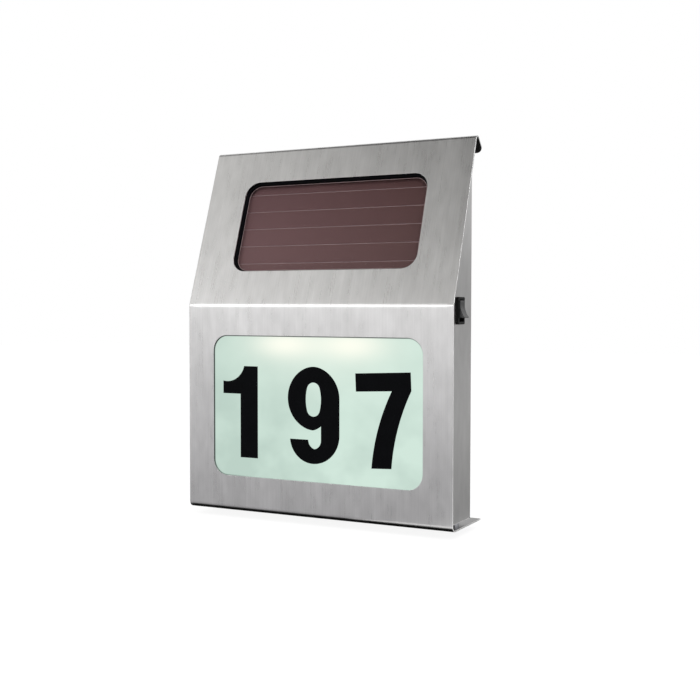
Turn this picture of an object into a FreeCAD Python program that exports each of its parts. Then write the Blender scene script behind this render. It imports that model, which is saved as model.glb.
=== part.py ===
"""Illuminated house number sign: folded steel front, light box, solar panel and wall bracket.

Sign frame used while drawing: X to the viewer's right, Y from the front face into the wall,
Z up from the underside of the base flange, all in millimetres. Every piece is then seated so
that the origin is the centre of the wall bracket's four screw holes, on the wall plane.
Pieces of the solar panel are drawn in a tilted frame: Y square to the slanted face, Z up it.
"""
import FreeCAD, Part
import math
import os
import re

import Sketcher

Vec = FreeCAD.Vector
doc = FreeCAD.newDocument("house_number_sign")

# --- driving dimensions (mm, degrees) ----------------------------------------------------------
SIZES = {
    # folded front cover
    "sign_width": 220, "sign_height": 278, "cover_steel": 1.0, "bend_height": 156.7,
    "slant_tilt": 19.2, "bend_radius": 4.5, "fold_radius": 3.0, "base_gap": 1.9,
    "leg_tilt": 44, "leg_length": 13, "leg_corner": 5, "wall_gap": 0.5,
    # windows in the cover
    "number_window_margin": 22.6, "number_window_bottom": 27, "number_window_top": 134,
    "solar_window_margin": 32.6, "solar_window_bottom": 27.5, "solar_window_above": 24.8,
    "window_corner": 12,
    # housing behind the cover
    "housing_depth": 36, "housing_bottom": 5, "housing_inset": 0.5, "housing_steel": 1.0,
    "housing_corner": 2.0, "notch_gap": 1.5,
    "tab_length": 10, "tab_height": 12, "lower_tab_height": 81,
    # number pane, its gasket and the light tray
    "pane_overlap": 8, "pane_thick": 2.0, "pane_corner": 4, "pane_seal_thick": 1.0,
    "pane_seal_width": 5, "tray_depth": 14.5, "tray_wall": 2.0, "tray_inset": 2.5,
    "ear_thick": 2.0, "ear_height": 10, "ear_gap": 2.0,
    "ear_low": 35, "ear_high": 125, "ear_screw_inset": 7,
    # lamps
    "lamp_spacing": 52, "lamp_radius": 2.5, "lamp_length": 8.6, "lamp_flange": 2.9,
    "lamp_flange_thick": 1.0, "lamp_hole_gap": 0.2, "lamp_board_width": 92,
    "lamp_board_depth": 12, "board_thick": 1.6, "lamp_screw_spacing": 76,
    "small_screw": 1.0, "small_head": 1.9, "small_head_thick": 1.2, "small_bite": 2.0,
    "small_gap": 0.05,
    # digits
    "digit_thick": 0.2, "digit_layout_half": 87.4, "digit_base": 41.4, "digit_top": 110.8,
    "digit_stem": 15.3, "one_left": -79, "one_right": -48.2, "one_flag_low": 89.7,
    "one_flag_high": 99.3, "one_shoulder": 12, "one_curve": 16,
    "nine_centre": -0.3, "nine_half_width": 21.6, "nine_overshoot": 1, "nine_bowl_low": 65.1,
    "nine_side_low": 62.2, "nine_hole_half": 6.4, "nine_hole_low": 75.2, "nine_hole_high": 100.2,
    "nine_end_height": 58, "nine_end_left": -20, "nine_end_right": -4.6, "nine_hook_low": 51.3,
    "seven_centre": 56.5, "seven_middle": 75.1, "seven_turn": 2.5, "seven_left": -20.9,
    "seven_right": 22.6, "seven_top": 33.8, "seven_bar_low": 20.7, "seven_inner": 7.5,
    "seven_foot": -34.4, "seven_foot_left": -10.8, "seven_foot_right": 4.9, "seven_curve": 150,
    # solar panel stack behind the slanted face
    "solar_seal_thick": 1.5, "solar_seal_gap": 1.2, "solar_lip": 1.5, "solar_lip_show": 1.0,
    "panel_overlap": 4.2, "panel_overlap_high": 5.9, "cell_count": 6, "cell_line": 0.55,
    "cell_thick": 0.3, "solar_glass": 2.2, "panel_back": 2.5, "panel_gap": 0.3,
    "solar_frame_wall": 3.0, "back_plate": 2.0, "solar_ear_reach": 10.5, "solar_ear_height": 12,
    "solar_ear_screw_reach": 6, "solar_ear_inset": 7.4, "lead_hole": 2.0,
    "lead_place": -40,
    # fasteners
    "stud_radius": 1.5, "thread_spare": 1.0, "screw_gap": 0.2, "nut_flat_radius": 3.2,
    "nut_thick": 2.4, "nut_bore_gap": 0.05, "screw_head": 3.0, "screw_head_thick": 2.0,
    "spacer_radius": 3.0, "spacer_depth": 20,
    "lock_screw": 2.0, "lock_head": 3.6, "lock_place": 50, "lock_from_wall": 14.3,
    "lock_nut_radius": 4.0, "lock_nut_thick": 3.2,
    # wall bracket
    "bracket_steel": 1.5, "bracket_width": 140, "seat_gap": 0, "cleat_start": 2.5,
    "bracket_tab": 20.3, "wall_hole": 2.75, "wall_holes_wide": 110, "wall_holes_tall": 160,
    "mount_height": 140,
    # battery compartment
    "cell_radius": 7.1, "cell_body": 49.5, "cell_nub": 1.0, "cell_nub_radius": 2.7,
    "cell_space": 0.5, "battery_low": 80, "battery_wall": 1.5, "battery_end_gap": 6.5,
    "battery_flange": 5.0, "battery_flange_thick": 3.0, "contact_thick": 0.5,
    "contact_size": 13.4, "leaf_half": 6.4, "leaf_thick": 0.4, "leaf_width": 7,
    "door_screw_place": 33, "seal_thick": 1.0, "door_thick": 2.0, "door_overlap": 6,
    "door_corner": 3, "door_screw_length": 7,
    # control board
    "control_inset": 18, "control_width": 44, "control_low": 72, "control_height": 46,
    "standoff_length": 5.4, "standoff_radius": 2.5, "standoff_inset": 4,
    "chip_width": 6, "chip_length": 9, "chip_thick": 1.6, "chip_x": 27, "chip_z": 24,
    "capacitor_radius": 3.2, "capacitor_length": 7.5, "capacitor_x": 11, "capacitor_z": 15,
    "coil_radius": 4.2, "coil_core": 2.2, "coil_flange": 0.8, "coil_length": 6.5,
    "coil_x": 24, "coil_z": 10, "resistor_radius": 1.1, "resistor_length": 6,
    "resistor_count": 4, "resistor_pitch": 3.6, "resistor_x": 9, "resistor_z": 26,
    # rocker switch in the right wall
    "switch_depth": 10.9, "switch_height": 153, "bezel_depth": 11.8, "bezel_height": 18.9,
    "bezel_thick": 2.0, "bezel_corner": 1.2, "switch_opening_depth": 8.6,
    "switch_opening_height": 15.4, "switch_wall": 0.7, "switch_cut_gap": 0.2,
    "switch_body_length": 13, "switch_floor": 6, "switch_tilt": 15, "pivot_sink": 0.2,
    "rocker_half": 6.4, "rocker_rise": 4.6, "rocker_dish": 1.6, "rocker_root": 4.4,
    "rocker_sink": 3.0, "rocker_side_gap": 0.2, "rocker_edge": 0.4, "pivot_radius": 1.0,
    "pivot_gap": 0.05, "pivot_grip": 0.6, "blade_length": 8, "blade_width": 4.8,
    "blade_thick": 0.8, "blade_offset": 4,
    # leads
    "lead_radius": 0.6, "lead_pitch": 2.6, "lead_lift": 0.01, "lead_run": 4,
    # how far a cut starts outside the metal
    "overcut": 1.0,
}
sheet = doc.addObject("Spreadsheet::Sheet", "dim")
for row, (alias, number) in enumerate(SIZES.items(), 1):
    sheet.set(f"A{row}", alias)
    sheet.set(f"B{row}", str(number))
    sheet.setAlias(f"B{row}", alias)
doc.recompute()
ALIAS = re.compile(r"\b(" + "|".join(sorted(SIZES, key=len, reverse=True)) + r")\b")

# --- places worked out from the dimensions, as expressions -------------------------------------
FOLD_RUN = "((sign_height - fold_radius * (1 - sin(slant_tilt)) - bend_height) / cos(slant_tilt))"
FOLD_Y = f"({FOLD_RUN} * sin(slant_tilt) + fold_radius * cos(slant_tilt))"
FOLD_Z = "(sign_height - fold_radius)"
LEG_Y = f"({FOLD_Y} + fold_radius * cos(leg_tilt) + leg_length * sin(leg_tilt))"
LEG_Z = f"({FOLD_Z} + fold_radius * sin(leg_tilt) - leg_length * cos(leg_tilt))"
WALL = f"({LEG_Y} + wall_gap)"
BASE_DEPTH = f"({WALL} - base_gap)"
LOCK_Y = f"({WALL} - lock_from_wall)"
NUMBER_X = "(sign_width / 2 - number_window_margin)"
SOLAR_X = "(sign_width / 2 - solar_window_margin)"
SOLAR_TOP = f"({FOLD_RUN} - solar_window_above)"
HOUSING_X = "(sign_width / 2 - housing_inset)"
HOUSING_IN = f"({HOUSING_X} - housing_steel)"
BACK_IN = "(housing_depth - housing_steel)"
TAB_X = f"({HOUSING_IN} - tab_length / 2)"
PANE_X = f"({NUMBER_X} + pane_overlap)"
PANE_LOW = "(number_window_bottom - pane_overlap)"
PANE_HIGH = "(number_window_top + pane_overlap)"
PANE_BACK = "(cover_steel + pane_thick)"
TRAY_Y = f"({PANE_BACK} + pane_seal_thick)"
TRAY_X = f"({PANE_X} - tray_inset)"
TRAY_TOP = f"({PANE_HIGH} - tray_inset)"
EAR_X = f"({HOUSING_IN} - ear_screw_inset)"
LAMP_BOARD_Z = f"({TRAY_TOP} + lamp_flange_thick)"
LAMP_Y = f"({TRAY_Y} + tray_depth / 2)"
SOLAR_MID = f"((solar_window_bottom + {SOLAR_TOP}) / 2)"
SOLAR_HALF = f"(({SOLAR_TOP} - solar_window_bottom) / 2)"
SOLAR_LIP_Y = "(cover_steel + solar_seal_thick)"
SOLAR_GLASS_Y = f"({SOLAR_LIP_Y} + solar_lip)"
SOLAR_CELL_Y = f"({SOLAR_GLASS_Y} + solar_glass)"
SOLAR_BACK_Y = f"({SOLAR_CELL_Y} + cell_thick)"
SOLAR_PLATE_Y = f"({SOLAR_BACK_Y} + panel_back)"
SOLAR_REAR_Y = f"({SOLAR_PLATE_Y} + back_plate)"
PANEL_X = f"({SOLAR_X} + panel_overlap)"
PANEL_HALF = f"({SOLAR_HALF} + panel_overlap_high)"
CELL_PITCH = f"(2 * {PANEL_HALF} / cell_count)"
FRAME_X = f"({PANEL_X} + panel_gap + solar_frame_wall)"
SOLAR_EAR_X = f"({FRAME_X} + solar_ear_screw_reach)"
SOLAR_EARS = [f"({SOLAR_MID} {sign} ({SOLAR_HALF} - solar_ear_inset))" for sign in "-+"]
FRAME_HALF = f"({PANEL_HALF} + panel_gap + solar_frame_wall)"
NOTCH_Z = (f"(bend_height + ({BACK_IN} - {SOLAR_REAR_Y} * cos(slant_tilt)) / tan(slant_tilt)"
           f" - {SOLAR_REAR_Y} * sin(slant_tilt) - notch_gap)")
BATTERY_HIGH = "(battery_low + 4 * cell_radius + 3 * cell_space + 2 * battery_wall)"
BATTERY_IN = "((cell_body + cell_nub + battery_end_gap) / 2)"
BATTERY_X = f"({BATTERY_IN} + battery_wall)"
BATTERY_Y = f"({BACK_IN} + housing_steel / 2 - 2 * cell_radius - cell_space)"
CELL_Y = f"({BATTERY_Y} + cell_radius + cell_space / 2)"
CELL_LOW = "(battery_low + battery_wall + cell_space + cell_radius)"
CELL_HIGH = f"({CELL_LOW} + 2 * cell_radius + cell_space)"
DOOR_Y = "(housing_depth + seal_thick)"
CONTROL_BACK = f"({BACK_IN} - standoff_length)"
CONTROL_Y = f"({CONTROL_BACK} - board_thick)"
CONTROL_LEFT = f"(control_inset - {HOUSING_IN})"
CONTROL_RIGHT = f"({CONTROL_LEFT} + control_width)"
CONTROL_HIGH = "(control_low + control_height)"
PIVOT_X = f"({HOUSING_X} + pivot_sink)"
BEZEL_X = f"({HOUSING_X} + bezel_thick)"
SWITCH_REAR = f"({HOUSING_X} - switch_body_length)"
CLEAT = "(cover_steel + seat_gap)"
TAB_TOP = "(cover_steel + seat_gap + bracket_steel)"


# --- drawing helpers ---------------------------------------------------------------------------
def bound(text):
    """The expression with every dimension name pointing at the sheet."""
    return ALIAS.sub(r"dim.\1", str(text))


def value(text):
    """The number that an expression gives now."""
    number = sheet.evalExpression(bound(text))
    return float(getattr(number, "Value", number))


def bind(thing, prop, text):
    thing.setExpression(prop, bound(text))


def plane(body, role):
    return next(o for o in body.Origin.OriginFeatures if o.Role == role)


def arc_of(start, end, radius):
    """The short arc from start to end; a positive radius turns left, a negative one right."""
    run = end - start
    across = Vec(-run.y, run.x, 0).normalize()
    lift = math.sqrt(max(radius ** 2 - (run.Length / 2) ** 2, 0))
    centre = (start + end) * 0.5 + across * math.copysign(lift, radius)
    first, last = (start, end) if radius > 0 else (end, start)
    angles = [math.atan2(p.y - centre.y, p.x - centre.x) for p in (first, last)]
    circle = Part.Circle(centre, Vec(0, 0, 1), abs(radius))
    return Part.ArcOfCircle(circle, angles[0], angles[1])


def outline(sketch, corners):
    """One closed outline. Each corner is (u, v) or (u, v, radius of the arc that follows)."""
    first = sketch.GeometryCount
    count = len(corners)
    points = [Vec(value(c[0]), value(c[1]), 0) for c in corners]
    ends = []
    for i, corner in enumerate(corners):
        start, end = points[i], points[(i + 1) % count]
        if len(corner) == 2:
            index = sketch.addGeometry(Part.LineSegment(start, end), False)
            ends.append((index, 1, 2))
            continue
        turn = value(corner[2])
        index = sketch.addGeometry(arc_of(start, end, turn), False)
        ends.append((index, 1, 2) if turn > 0 else (index, 2, 1))
        radius = sketch.addConstraint(Sketcher.Constraint("Radius", index, abs(turn)))
        bind(sketch, f"Constraints[{radius}]", f"abs({corner[2]})")
    for i, (index, start, end) in enumerate(ends):
        follower = ends[(i + 1) % count]
        sketch.addConstraint(Sketcher.Constraint("Coincident", index, end, follower[0], follower[1]))
        for kind, number, text in (("DistanceX", points[i].x, corners[i][0]),
                                   ("DistanceY", points[i].y, corners[i][1])):
            place = sketch.addConstraint(Sketcher.Constraint(kind, -1, 1, index, start, number))
            bind(sketch, f"Constraints[{place}]", text)
    return first


def circle(sketch, loop):
    """One round hole or disc, (u, v, radius) under the key word round."""
    u, v, radius = loop[1:]
    shape = Part.Circle(Vec(value(u), value(v), 0), Vec(0, 0, 1), value(radius))
    index = sketch.addGeometry(shape, False)
    for kind, text in (("DistanceX", u), ("DistanceY", v)):
        place = sketch.addConstraint(Sketcher.Constraint(kind, -1, 1, index, 3, value(text)))
        bind(sketch, f"Constraints[{place}]", text)
    size = sketch.addConstraint(Sketcher.Constraint("Radius", index, value(radius)))
    bind(sketch, f"Constraints[{size}]", radius)


def rect(u0, u1, v0, v1):
    return [(u0, v0), (u1, v0), (u1, v1), (u0, v1)]


def rounded(u0, u1, v0, v1, r):
    """A rectangle with round corners, anticlockwise."""
    return [(f"{u0} + {r}", v0), (f"{u1} - {r}", v0, r), (u1, f"{v0} + {r}"),
            (u1, f"{v1} - {r}", r), (f"{u1} - {r}", v1), (f"{u0} + {r}", v1, r),
            (u0, f"{v1} - {r}"), (u0, f"{v0} + {r}", r)]


def middle_rounded(half_u, mid_v, half_v, r):
    return rounded(f"-({half_u})", half_u, f"{mid_v} - ({half_v})", f"{mid_v} + ({half_v})", r)


VIEWS = {"front": "XZ_Plane", "slant": "XZ_Plane", "side": "YZ_Plane", "floor": "XY_Plane"}
BACKWARDS = ("front", "slant")   # sketch planes whose normal points out of the front


def sketch_on(body, name, view, offset, loops):
    """A sketch on one of the body's own planes, moved by offset along +Y, +X or +Z."""
    sketch = body.newObject("Sketcher::SketchObject", name)
    sketch.AttachmentSupport = (plane(body, VIEWS[view]), [""])
    sketch.MapMode = "FlatFace"
    if view == "slant":
        tilt = FreeCAD.Rotation(Vec(-1, 0, 0), value("slant_tilt"))
        sketch.AttachmentOffset = FreeCAD.Placement(Vec(), tilt)
        bind(sketch, "AttachmentOffset.Rotation.Angle", "slant_tilt")
        bind(sketch, "AttachmentOffset.Base.y", f"bend_height - ({offset}) * sin(slant_tilt)")
        bind(sketch, "AttachmentOffset.Base.z", f"-({offset}) * cos(slant_tilt)")
    else:
        sign = "-" if view in BACKWARDS else ""
        bind(sketch, "AttachmentOffset.Base.z", f"{sign}({offset})")
    for loop in loops:
        if loop[0] == "round":
            circle(sketch, loop)
        else:
            outline(sketch, loop)
    return sketch


def pad(body, name, view, start, length, *loops):
    """Adds material from start, over length, along +Y, +X or +Z."""
    sketch = sketch_on(body, name + "_sketch", view, start, loops)
    feature = body.newObject("PartDesign::Pad", name)
    feature.Profile = sketch
    bind(feature, "Length", length)
    feature.Reversed = view in BACKWARDS
    doc.recompute()
    return feature


def pocket(body, name, view, start, length, *loops):
    """Cuts from start, over length, along +Y, +X or +Z, and makes sure that it cut."""
    before = body.Shape.Volume
    sketch = sketch_on(body, name + "_sketch", view, start, loops)
    feature = body.newObject("PartDesign::Pocket", name)
    feature.Profile = sketch
    bind(feature, "Length", length)
    feature.Reversed = view not in BACKWARDS
    doc.recompute()
    if not body.Shape.Volume < before:
        raise RuntimeError(f"{name} cuts nothing")
    return feature


def fillet(body, name, radius, wanted):
    """Rounds the edges of the body's tip for which wanted(middle, direction) holds."""
    tip = body.Tip
    edges = []
    for number, edge in enumerate(tip.Shape.Edges, 1):
        if edge.Curve.TypeId == "Part::GeomLine":
            ends = [v.Point for v in edge.Vertexes]
            if wanted((ends[0] + ends[1]) * 0.5, (ends[1] - ends[0]).normalize()):
                edges.append(f"Edge{number}")
    feature = body.newObject("PartDesign::Fillet", name)
    feature.Base = (tip, edges)
    bind(feature, "Radius", radius)
    doc.recompute()
    return feature


pieces = []


def seat(thing, label, frame="front"):
    """Names the piece and moves it from its drawing frame to the frame of the wall mount."""
    thing.Label = label
    if frame == "slant":
        thing.Placement = FreeCAD.Placement(Vec(), FreeCAD.Rotation(Vec(-1, 0, 0), value("slant_tilt")))
        bind(thing, "Placement.Rotation.Angle", "slant_tilt")
    bind(thing, "Placement.Base.y", f"-{WALL}")
    bind(thing, "Placement.Base.z", ("bend_height" if frame == "slant" else "0") + " - mount_height")
    pieces.append(thing)
    return thing


def new_body(name):
    return doc.addObject("PartDesign::Body", name + "_body")


def plate(label, start, thick, *loops, frame="front"):
    """A flat piece: one outline with any holes, thick along Y."""
    body = new_body(label)
    pad(body, label + "_pad", "front", start, thick, *loops)
    return seat(body, label, frame)


TURNS = {"x": (Vec(0, 1, 0), 90), "y": (Vec(1, 0, 0), -90), "z": (Vec(0, 0, 1), 0)}


def place(thing, axis, x, y, z):
    thing.Placement = FreeCAD.Placement(Vec(), FreeCAD.Rotation(*TURNS[axis]))
    for letter, text in zip("xyz", (x, y, z)):
        bind(thing, f"Placement.Base.{letter}", text)
    return thing


def rod(axis, x, y, z, radius, length):
    """A round bar that starts at the point and runs along +axis."""
    thing = doc.addObject("Part::Cylinder", "rod")
    bind(thing, "Radius", radius)
    bind(thing, "Height", length)
    return place(thing, axis, x, y, z)


def block(x0, x1, y0, y1, z0, z1):
    thing = doc.addObject("Part::Box", "block")
    for prop, low, high in (("Length", x0, x1), ("Width", y0, y1), ("Height", z0, z1)):
        bind(thing, prop, f"({high}) - ({low})")
    return place(thing, "z", x0, y0, z0)


def cut(base, tool):
    thing = doc.addObject("Part::Cut", "cut")
    thing.Base, thing.Tool = base, tool
    return thing


def fuse(*things):
    thing = doc.addObject("Part::MultiFuse", "fuse")
    thing.Shapes = list(things)
    thing.Refine = True
    return thing


def pipe(axis, x, y, z, radius, bore, length):
    return cut(rod(axis, x, y, z, radius, length), rod(axis, x, y, z, bore, length))


def nut(axis, x, y, z, across, bore, thick):
    """A hexagon nut with its bore, standing from the point along +axis."""
    hexagon = doc.addObject("Part::Prism", "hexagon")
    hexagon.Polygon = 6
    bind(hexagon, "Circumradius", across)
    bind(hexagon, "Height", thick)
    return cut(place(hexagon, axis, x, y, z), rod(axis, x, y, z, bore, thick))


def group(label, things, frame="front"):
    """Separate solids that share one node."""
    thing = doc.addObject("Part::Compound", label + "_group")
    thing.Links = list(things)
    return seat(thing, label, frame)


def both(make):
    """The piece on the right and the piece on the left."""
    return [make(""), make("-")]


# --- the folded front cover --------------------------------------------------------------------
def make_front_cover():
    s, c = "sin(slant_tilt)", "cos(slant_tilt)"
    ls, lc = "sin(leg_tilt)", "cos(leg_tilt)"
    bend_z = "(bend_height - bend_radius * tan(slant_tilt / 2))"
    bend_in = "(bend_radius - cover_steel)"
    fold_in = "(fold_radius - cover_steel)"
    profile = [
        (BASE_DEPTH, "0"),
        ("bend_radius", "0", "-bend_radius"),
        ("0", "bend_radius"),
        ("0", bend_z, "-bend_radius"),
        (f"bend_radius * (1 - {c})", f"{bend_z} + bend_radius * {s}"),
        (f"{FOLD_Y} - fold_radius * {c}", f"{FOLD_Z} + fold_radius * {s}", "-fold_radius"),
        (f"{FOLD_Y} + fold_radius * {lc}", f"{FOLD_Z} + fold_radius * {ls}"),
        (LEG_Y, LEG_Z),
        (f"{LEG_Y} - cover_steel * {lc}", f"{LEG_Z} - cover_steel * {ls}"),
        (f"{FOLD_Y} + {fold_in} * {lc}", f"{FOLD_Z} + {fold_in} * {ls}", fold_in),
        (f"{FOLD_Y} - {fold_in} * {c}", f"{FOLD_Z} + {fold_in} * {s}"),
        (f"bend_radius - {bend_in} * {c}", f"{bend_z} + {bend_in} * {s}", bend_in),
        ("cover_steel", bend_z),
        ("cover_steel", "bend_radius", bend_in),
        ("bend_radius", "cover_steel"),
        (BASE_DEPTH, "cover_steel"),
    ]
    body = new_body("front_cover")
    pad(body, "folded_sheet", "side", "-sign_width / 2", "sign_width", profile)
    leg_z, half = value(LEG_Z), value("sign_width / 2")
    fillet(body, "leg_corners", "leg_corner",
           lambda m, d: abs(d.x) < 0.1 and abs(abs(m.x) - half) < 0.01 and abs(m.z - leg_z) < 0.5)
    through = "cover_steel + 2 * overcut"
    pocket(body, "number_window", "front", "-overcut", through,
           rounded(f"-{NUMBER_X}", NUMBER_X, "number_window_bottom", "number_window_top",
                   "window_corner"))
    pocket(body, "solar_window", "slant", "-overcut", through,
           middle_rounded(SOLAR_X, SOLAR_MID, SOLAR_HALF, "window_corner"))
    holes = [("round", sign + TAB_X, "spacer_depth", "stud_radius + screw_gap")
             for sign in ("", "-")]
    holes += [("round", f"{sign}lock_place", LOCK_Y, "lock_screw + screw_gap")
              for sign in ("", "-")]
    pocket(body, "flange_holes", "floor", "-overcut", through, *holes)
    return seat(body, "front_cover")


# --- the housing: folded tray that closes the sides, bottom and back ---------------------------
def make_housing():
    body = new_body("housing")
    back_top = "(bend_height + (housing_depth - cover_steel / cos(slant_tilt)) / tan(slant_tilt))"
    bend_z = "(bend_height - bend_radius * tan(slant_tilt / 2))"
    bend_in = "(bend_radius - cover_steel)"
    pad(body, "outer", "side", f"-{HOUSING_X}", f"2 * {HOUSING_X}",
        [("cover_steel", "housing_bottom"), ("housing_depth", "housing_bottom"),
         ("housing_depth", back_top),
         (f"bend_radius - {bend_in} * cos(slant_tilt)", f"{bend_z} + {bend_in} * sin(slant_tilt)"),
         ("cover_steel", bend_z)])
    depth, half = value("housing_depth"), value(HOUSING_X)
    low = value("housing_bottom")
    fillet(body, "bends", "housing_corner",
           lambda m, d: abs(m.y - depth) < 0.01 and (abs(abs(m.x) - half) < 0.01 and abs(d.z) > 0.9
                                                     or abs(m.z - low) < 0.01 and abs(d.x) > 0.9))
    pocket(body, "hollow", "side", f"-{HOUSING_IN}", f"2 * {HOUSING_IN}",
           rect("-overcut", BACK_IN, "housing_bottom + housing_steel", "sign_height"))
    pocket(body, "panel_notch", "front", f"{BACK_IN} - overcut", "housing_steel + 2 * overcut",
           rect(f"-({FRAME_X} + solar_ear_reach + notch_gap)", f"{FRAME_X} + solar_ear_reach + notch_gap",
                NOTCH_Z, "sign_height"))
    tab_low, tab_high = "lower_tab_height - tab_height / 2", "lower_tab_height + tab_height / 2"
    for side, x0, x1 in (("right", f"{HOUSING_IN} - tab_length", HOUSING_IN),
                         ("left", f"-{HOUSING_IN}", f"-({HOUSING_IN} - tab_length)")):
        pad(body, f"lower_tab_{side}", "front", "cover_steel", "housing_steel",
            rect(x0, x1, tab_low, tab_high))
        pad(body, f"slant_tab_{side}", "slant", "cover_steel", "housing_steel",
            rect(x0, x1, f"{SOLAR_MID} - tab_height / 2", f"{SOLAR_MID} + tab_height / 2"))
    through = "housing_steel + 2 * overcut"
    for view, height in (("front", "lower_tab_height"), ("slant", SOLAR_MID)):
        pocket(body, f"{view}_tab_holes", view, "cover_steel - overcut", through,
               *[("round", sign + TAB_X, height, "stud_radius + screw_gap") for sign in ("", "-")])
    pocket(body, "switch_cutout", "side", f"{HOUSING_IN} - overcut", through,
           rect("switch_depth - switch_opening_depth / 2 - switch_wall - switch_cut_gap",
                "switch_depth + switch_opening_depth / 2 + switch_wall + switch_cut_gap",
                "switch_height - switch_opening_height / 2 - switch_wall - switch_cut_gap",
                "switch_height + switch_opening_height / 2 + switch_wall + switch_cut_gap"))
    pocket(body, "battery_cutout", "front", f"{BACK_IN} - overcut", through,
           rect(f"-{BATTERY_IN}", BATTERY_IN, "battery_low + battery_wall",
                f"{BATTERY_HIGH} - battery_wall"),
           *door_holes("stud_radius + screw_gap"))
    pocket(body, "floor_holes", "floor", "housing_bottom - overcut", through,
           *[("round", sign + TAB_X, "spacer_depth", "stud_radius + screw_gap")
             for sign in ("", "-")])
    return seat(body, "housing")


def door_holes(radius):
    mid = f"(battery_low + {BATTERY_HIGH}) / 2"
    return [("round", f"{sign}door_screw_place", mid, radius) for sign in ("", "-")]


# --- number pane, digits and light tray --------------------------------------------------------
def make_light_box():
    plate("number_pane", "cover_steel", "pane_thick",
          rounded(f"-{PANE_X}", PANE_X, PANE_LOW, PANE_HIGH, "pane_corner"))
    plate("pane_gasket", PANE_BACK, "pane_seal_thick",
          rounded(f"-{PANE_X}", PANE_X, PANE_LOW, PANE_HIGH, "pane_corner"),
          rounded(f"-{PANE_X} + pane_seal_width", f"{PANE_X} - pane_seal_width",
                  f"{PANE_LOW} + pane_seal_width", f"{PANE_HIGH} - pane_seal_width", "pane_corner"))
    tray = new_body("light_tray")
    low = f"({PANE_LOW} + tray_inset)"
    pad(tray, "tray_block", "front", TRAY_Y, "tray_depth",
        rounded(f"-{TRAY_X}", TRAY_X, low, TRAY_TOP, "tray_wall"))
    for height in ("ear_low", "ear_high"):
        for name, x0, x1 in (("right", f"{TRAY_X} - overcut", f"{HOUSING_IN} - ear_gap"),
                             ("left", f"-({HOUSING_IN} - ear_gap)", f"-({TRAY_X} - overcut)")):
            pad(tray, f"{height}_{name}", "front", TRAY_Y, "ear_thick",
                rect(x0, x1, f"{height} - ear_height / 2", f"{height} + ear_height / 2"))
    for sign in ("", "-"):
        pad(tray, "boss" + ("_right" if sign == "" else "_left"), "floor", f"{TRAY_TOP} - overcut",
            "lamp_flange_thick + overcut",
            ("round", f"{sign}lamp_screw_spacing / 2", LAMP_Y, "standoff_radius"))
    pocket(tray, "tray_hollow", "front", f"{TRAY_Y} - overcut", "tray_depth - tray_wall + overcut",
           rect(f"-({TRAY_X} - tray_wall)", f"{TRAY_X} - tray_wall",
                f"{low} + tray_wall", f"{TRAY_TOP} - tray_wall"))
    pocket(tray, "ear_holes", "front", f"{TRAY_Y} - overcut", "ear_thick + 2 * overcut",
           *[("round", sign + EAR_X, height, "stud_radius + screw_gap")
             for sign in ("", "-") for height in ("ear_low", "ear_high")])
    pocket(tray, "lamp_holes", "floor", f"{TRAY_TOP} - tray_wall - overcut",
           "tray_wall + 2 * overcut",
           *[("round", f"{sign}lamp_spacing / 2", LAMP_Y, "lamp_radius + lamp_hole_gap")
             for sign in ("", "-")])
    pocket(tray, "screw_holes", "floor", f"{LAMP_BOARD_Z} - small_bite - lamp_flange_thick",
           "small_bite + lamp_flange_thick + overcut",
           *[("round", f"{sign}lamp_screw_spacing / 2", LAMP_Y, "small_screw + small_gap")
             for sign in ("", "-")])
    seat(tray, "light_tray")


def make_lamps():
    board = new_body("lamp_board")
    pad(board, "lamp_board_pad", "floor", LAMP_BOARD_Z, "board_thick",
        rect("-lamp_board_width / 2", "lamp_board_width / 2",
             f"{LAMP_Y} - lamp_board_depth / 2", f"{LAMP_Y} + lamp_board_depth / 2"),
        *[("round", f"{sign}lamp_screw_spacing / 2", LAMP_Y, "small_screw + small_gap")
          for sign in ("", "-")])
    seat(board, "lamp_board")

    def lamp(sign):
        x = f"{sign}lamp_spacing / 2"
        tip = doc.addObject("Part::Sphere", "lamp_tip")
        bind(tip, "Radius", "lamp_radius")
        place(tip, "z", x, LAMP_Y, f"{LAMP_BOARD_Z} - lamp_length + lamp_radius")
        stem = rod("z", x, LAMP_Y, f"{LAMP_BOARD_Z} - lamp_length + lamp_radius", "lamp_radius",
                   "lamp_length - lamp_radius")
        flange = rod("z", x, LAMP_Y, TRAY_TOP, "lamp_flange", "lamp_flange_thick")
        return fuse(stem, tip, flange)

    group("white_lamps", both(lamp))

    def screw(sign):
        x = f"{sign}lamp_screw_spacing / 2"
        foot = f"{LAMP_BOARD_Z} - small_bite"
        top = f"{LAMP_BOARD_Z} + board_thick"
        return fuse(rod("z", x, LAMP_Y, foot, "small_screw", "small_bite + board_thick"),
                    rod("z", x, LAMP_Y, top, "small_head", "small_head_thick"))

    group("lamp_board_screws", both(screw))


def quarter(centre_u, centre_v, side, end, half_u, half_v, radius):
    """A quarter of an oval in two arcs, from its side to its end, as corners for outline.

    side and end are +1 or -1 along u and v; radius is the small arc at the end of the v axis."""
    large = f"(({half_u})^2 + (({half_v}) - ({radius}))^2 - ({radius})^2) / (2 * (({half_u}) - ({radius})))"
    reach = f"sqrt((({large}) - ({half_u}))^2 + (({half_v}) - ({radius}))^2)"
    joint_u = f"{centre_u} + {side} * ({radius}) * (({large}) - ({half_u})) / ({reach})"
    joint_v = (f"{centre_v} + {end} * ((({half_v}) - ({radius}))"
               f" + ({radius}) * (({half_v}) - ({radius})) / ({reach}))")
    return ({"at": (f"{centre_u} + {side} * ({half_u})", centre_v), "r": large},
            {"at": (joint_u, joint_v), "r": radius},
            {"at": (centre_u, f"{centre_v} + {end} * ({half_v})")})


def across(text):
    """A place across the numerals, which keep their share of the window's width."""
    return f"({text}) * {NUMBER_X} / digit_layout_half"


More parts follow.
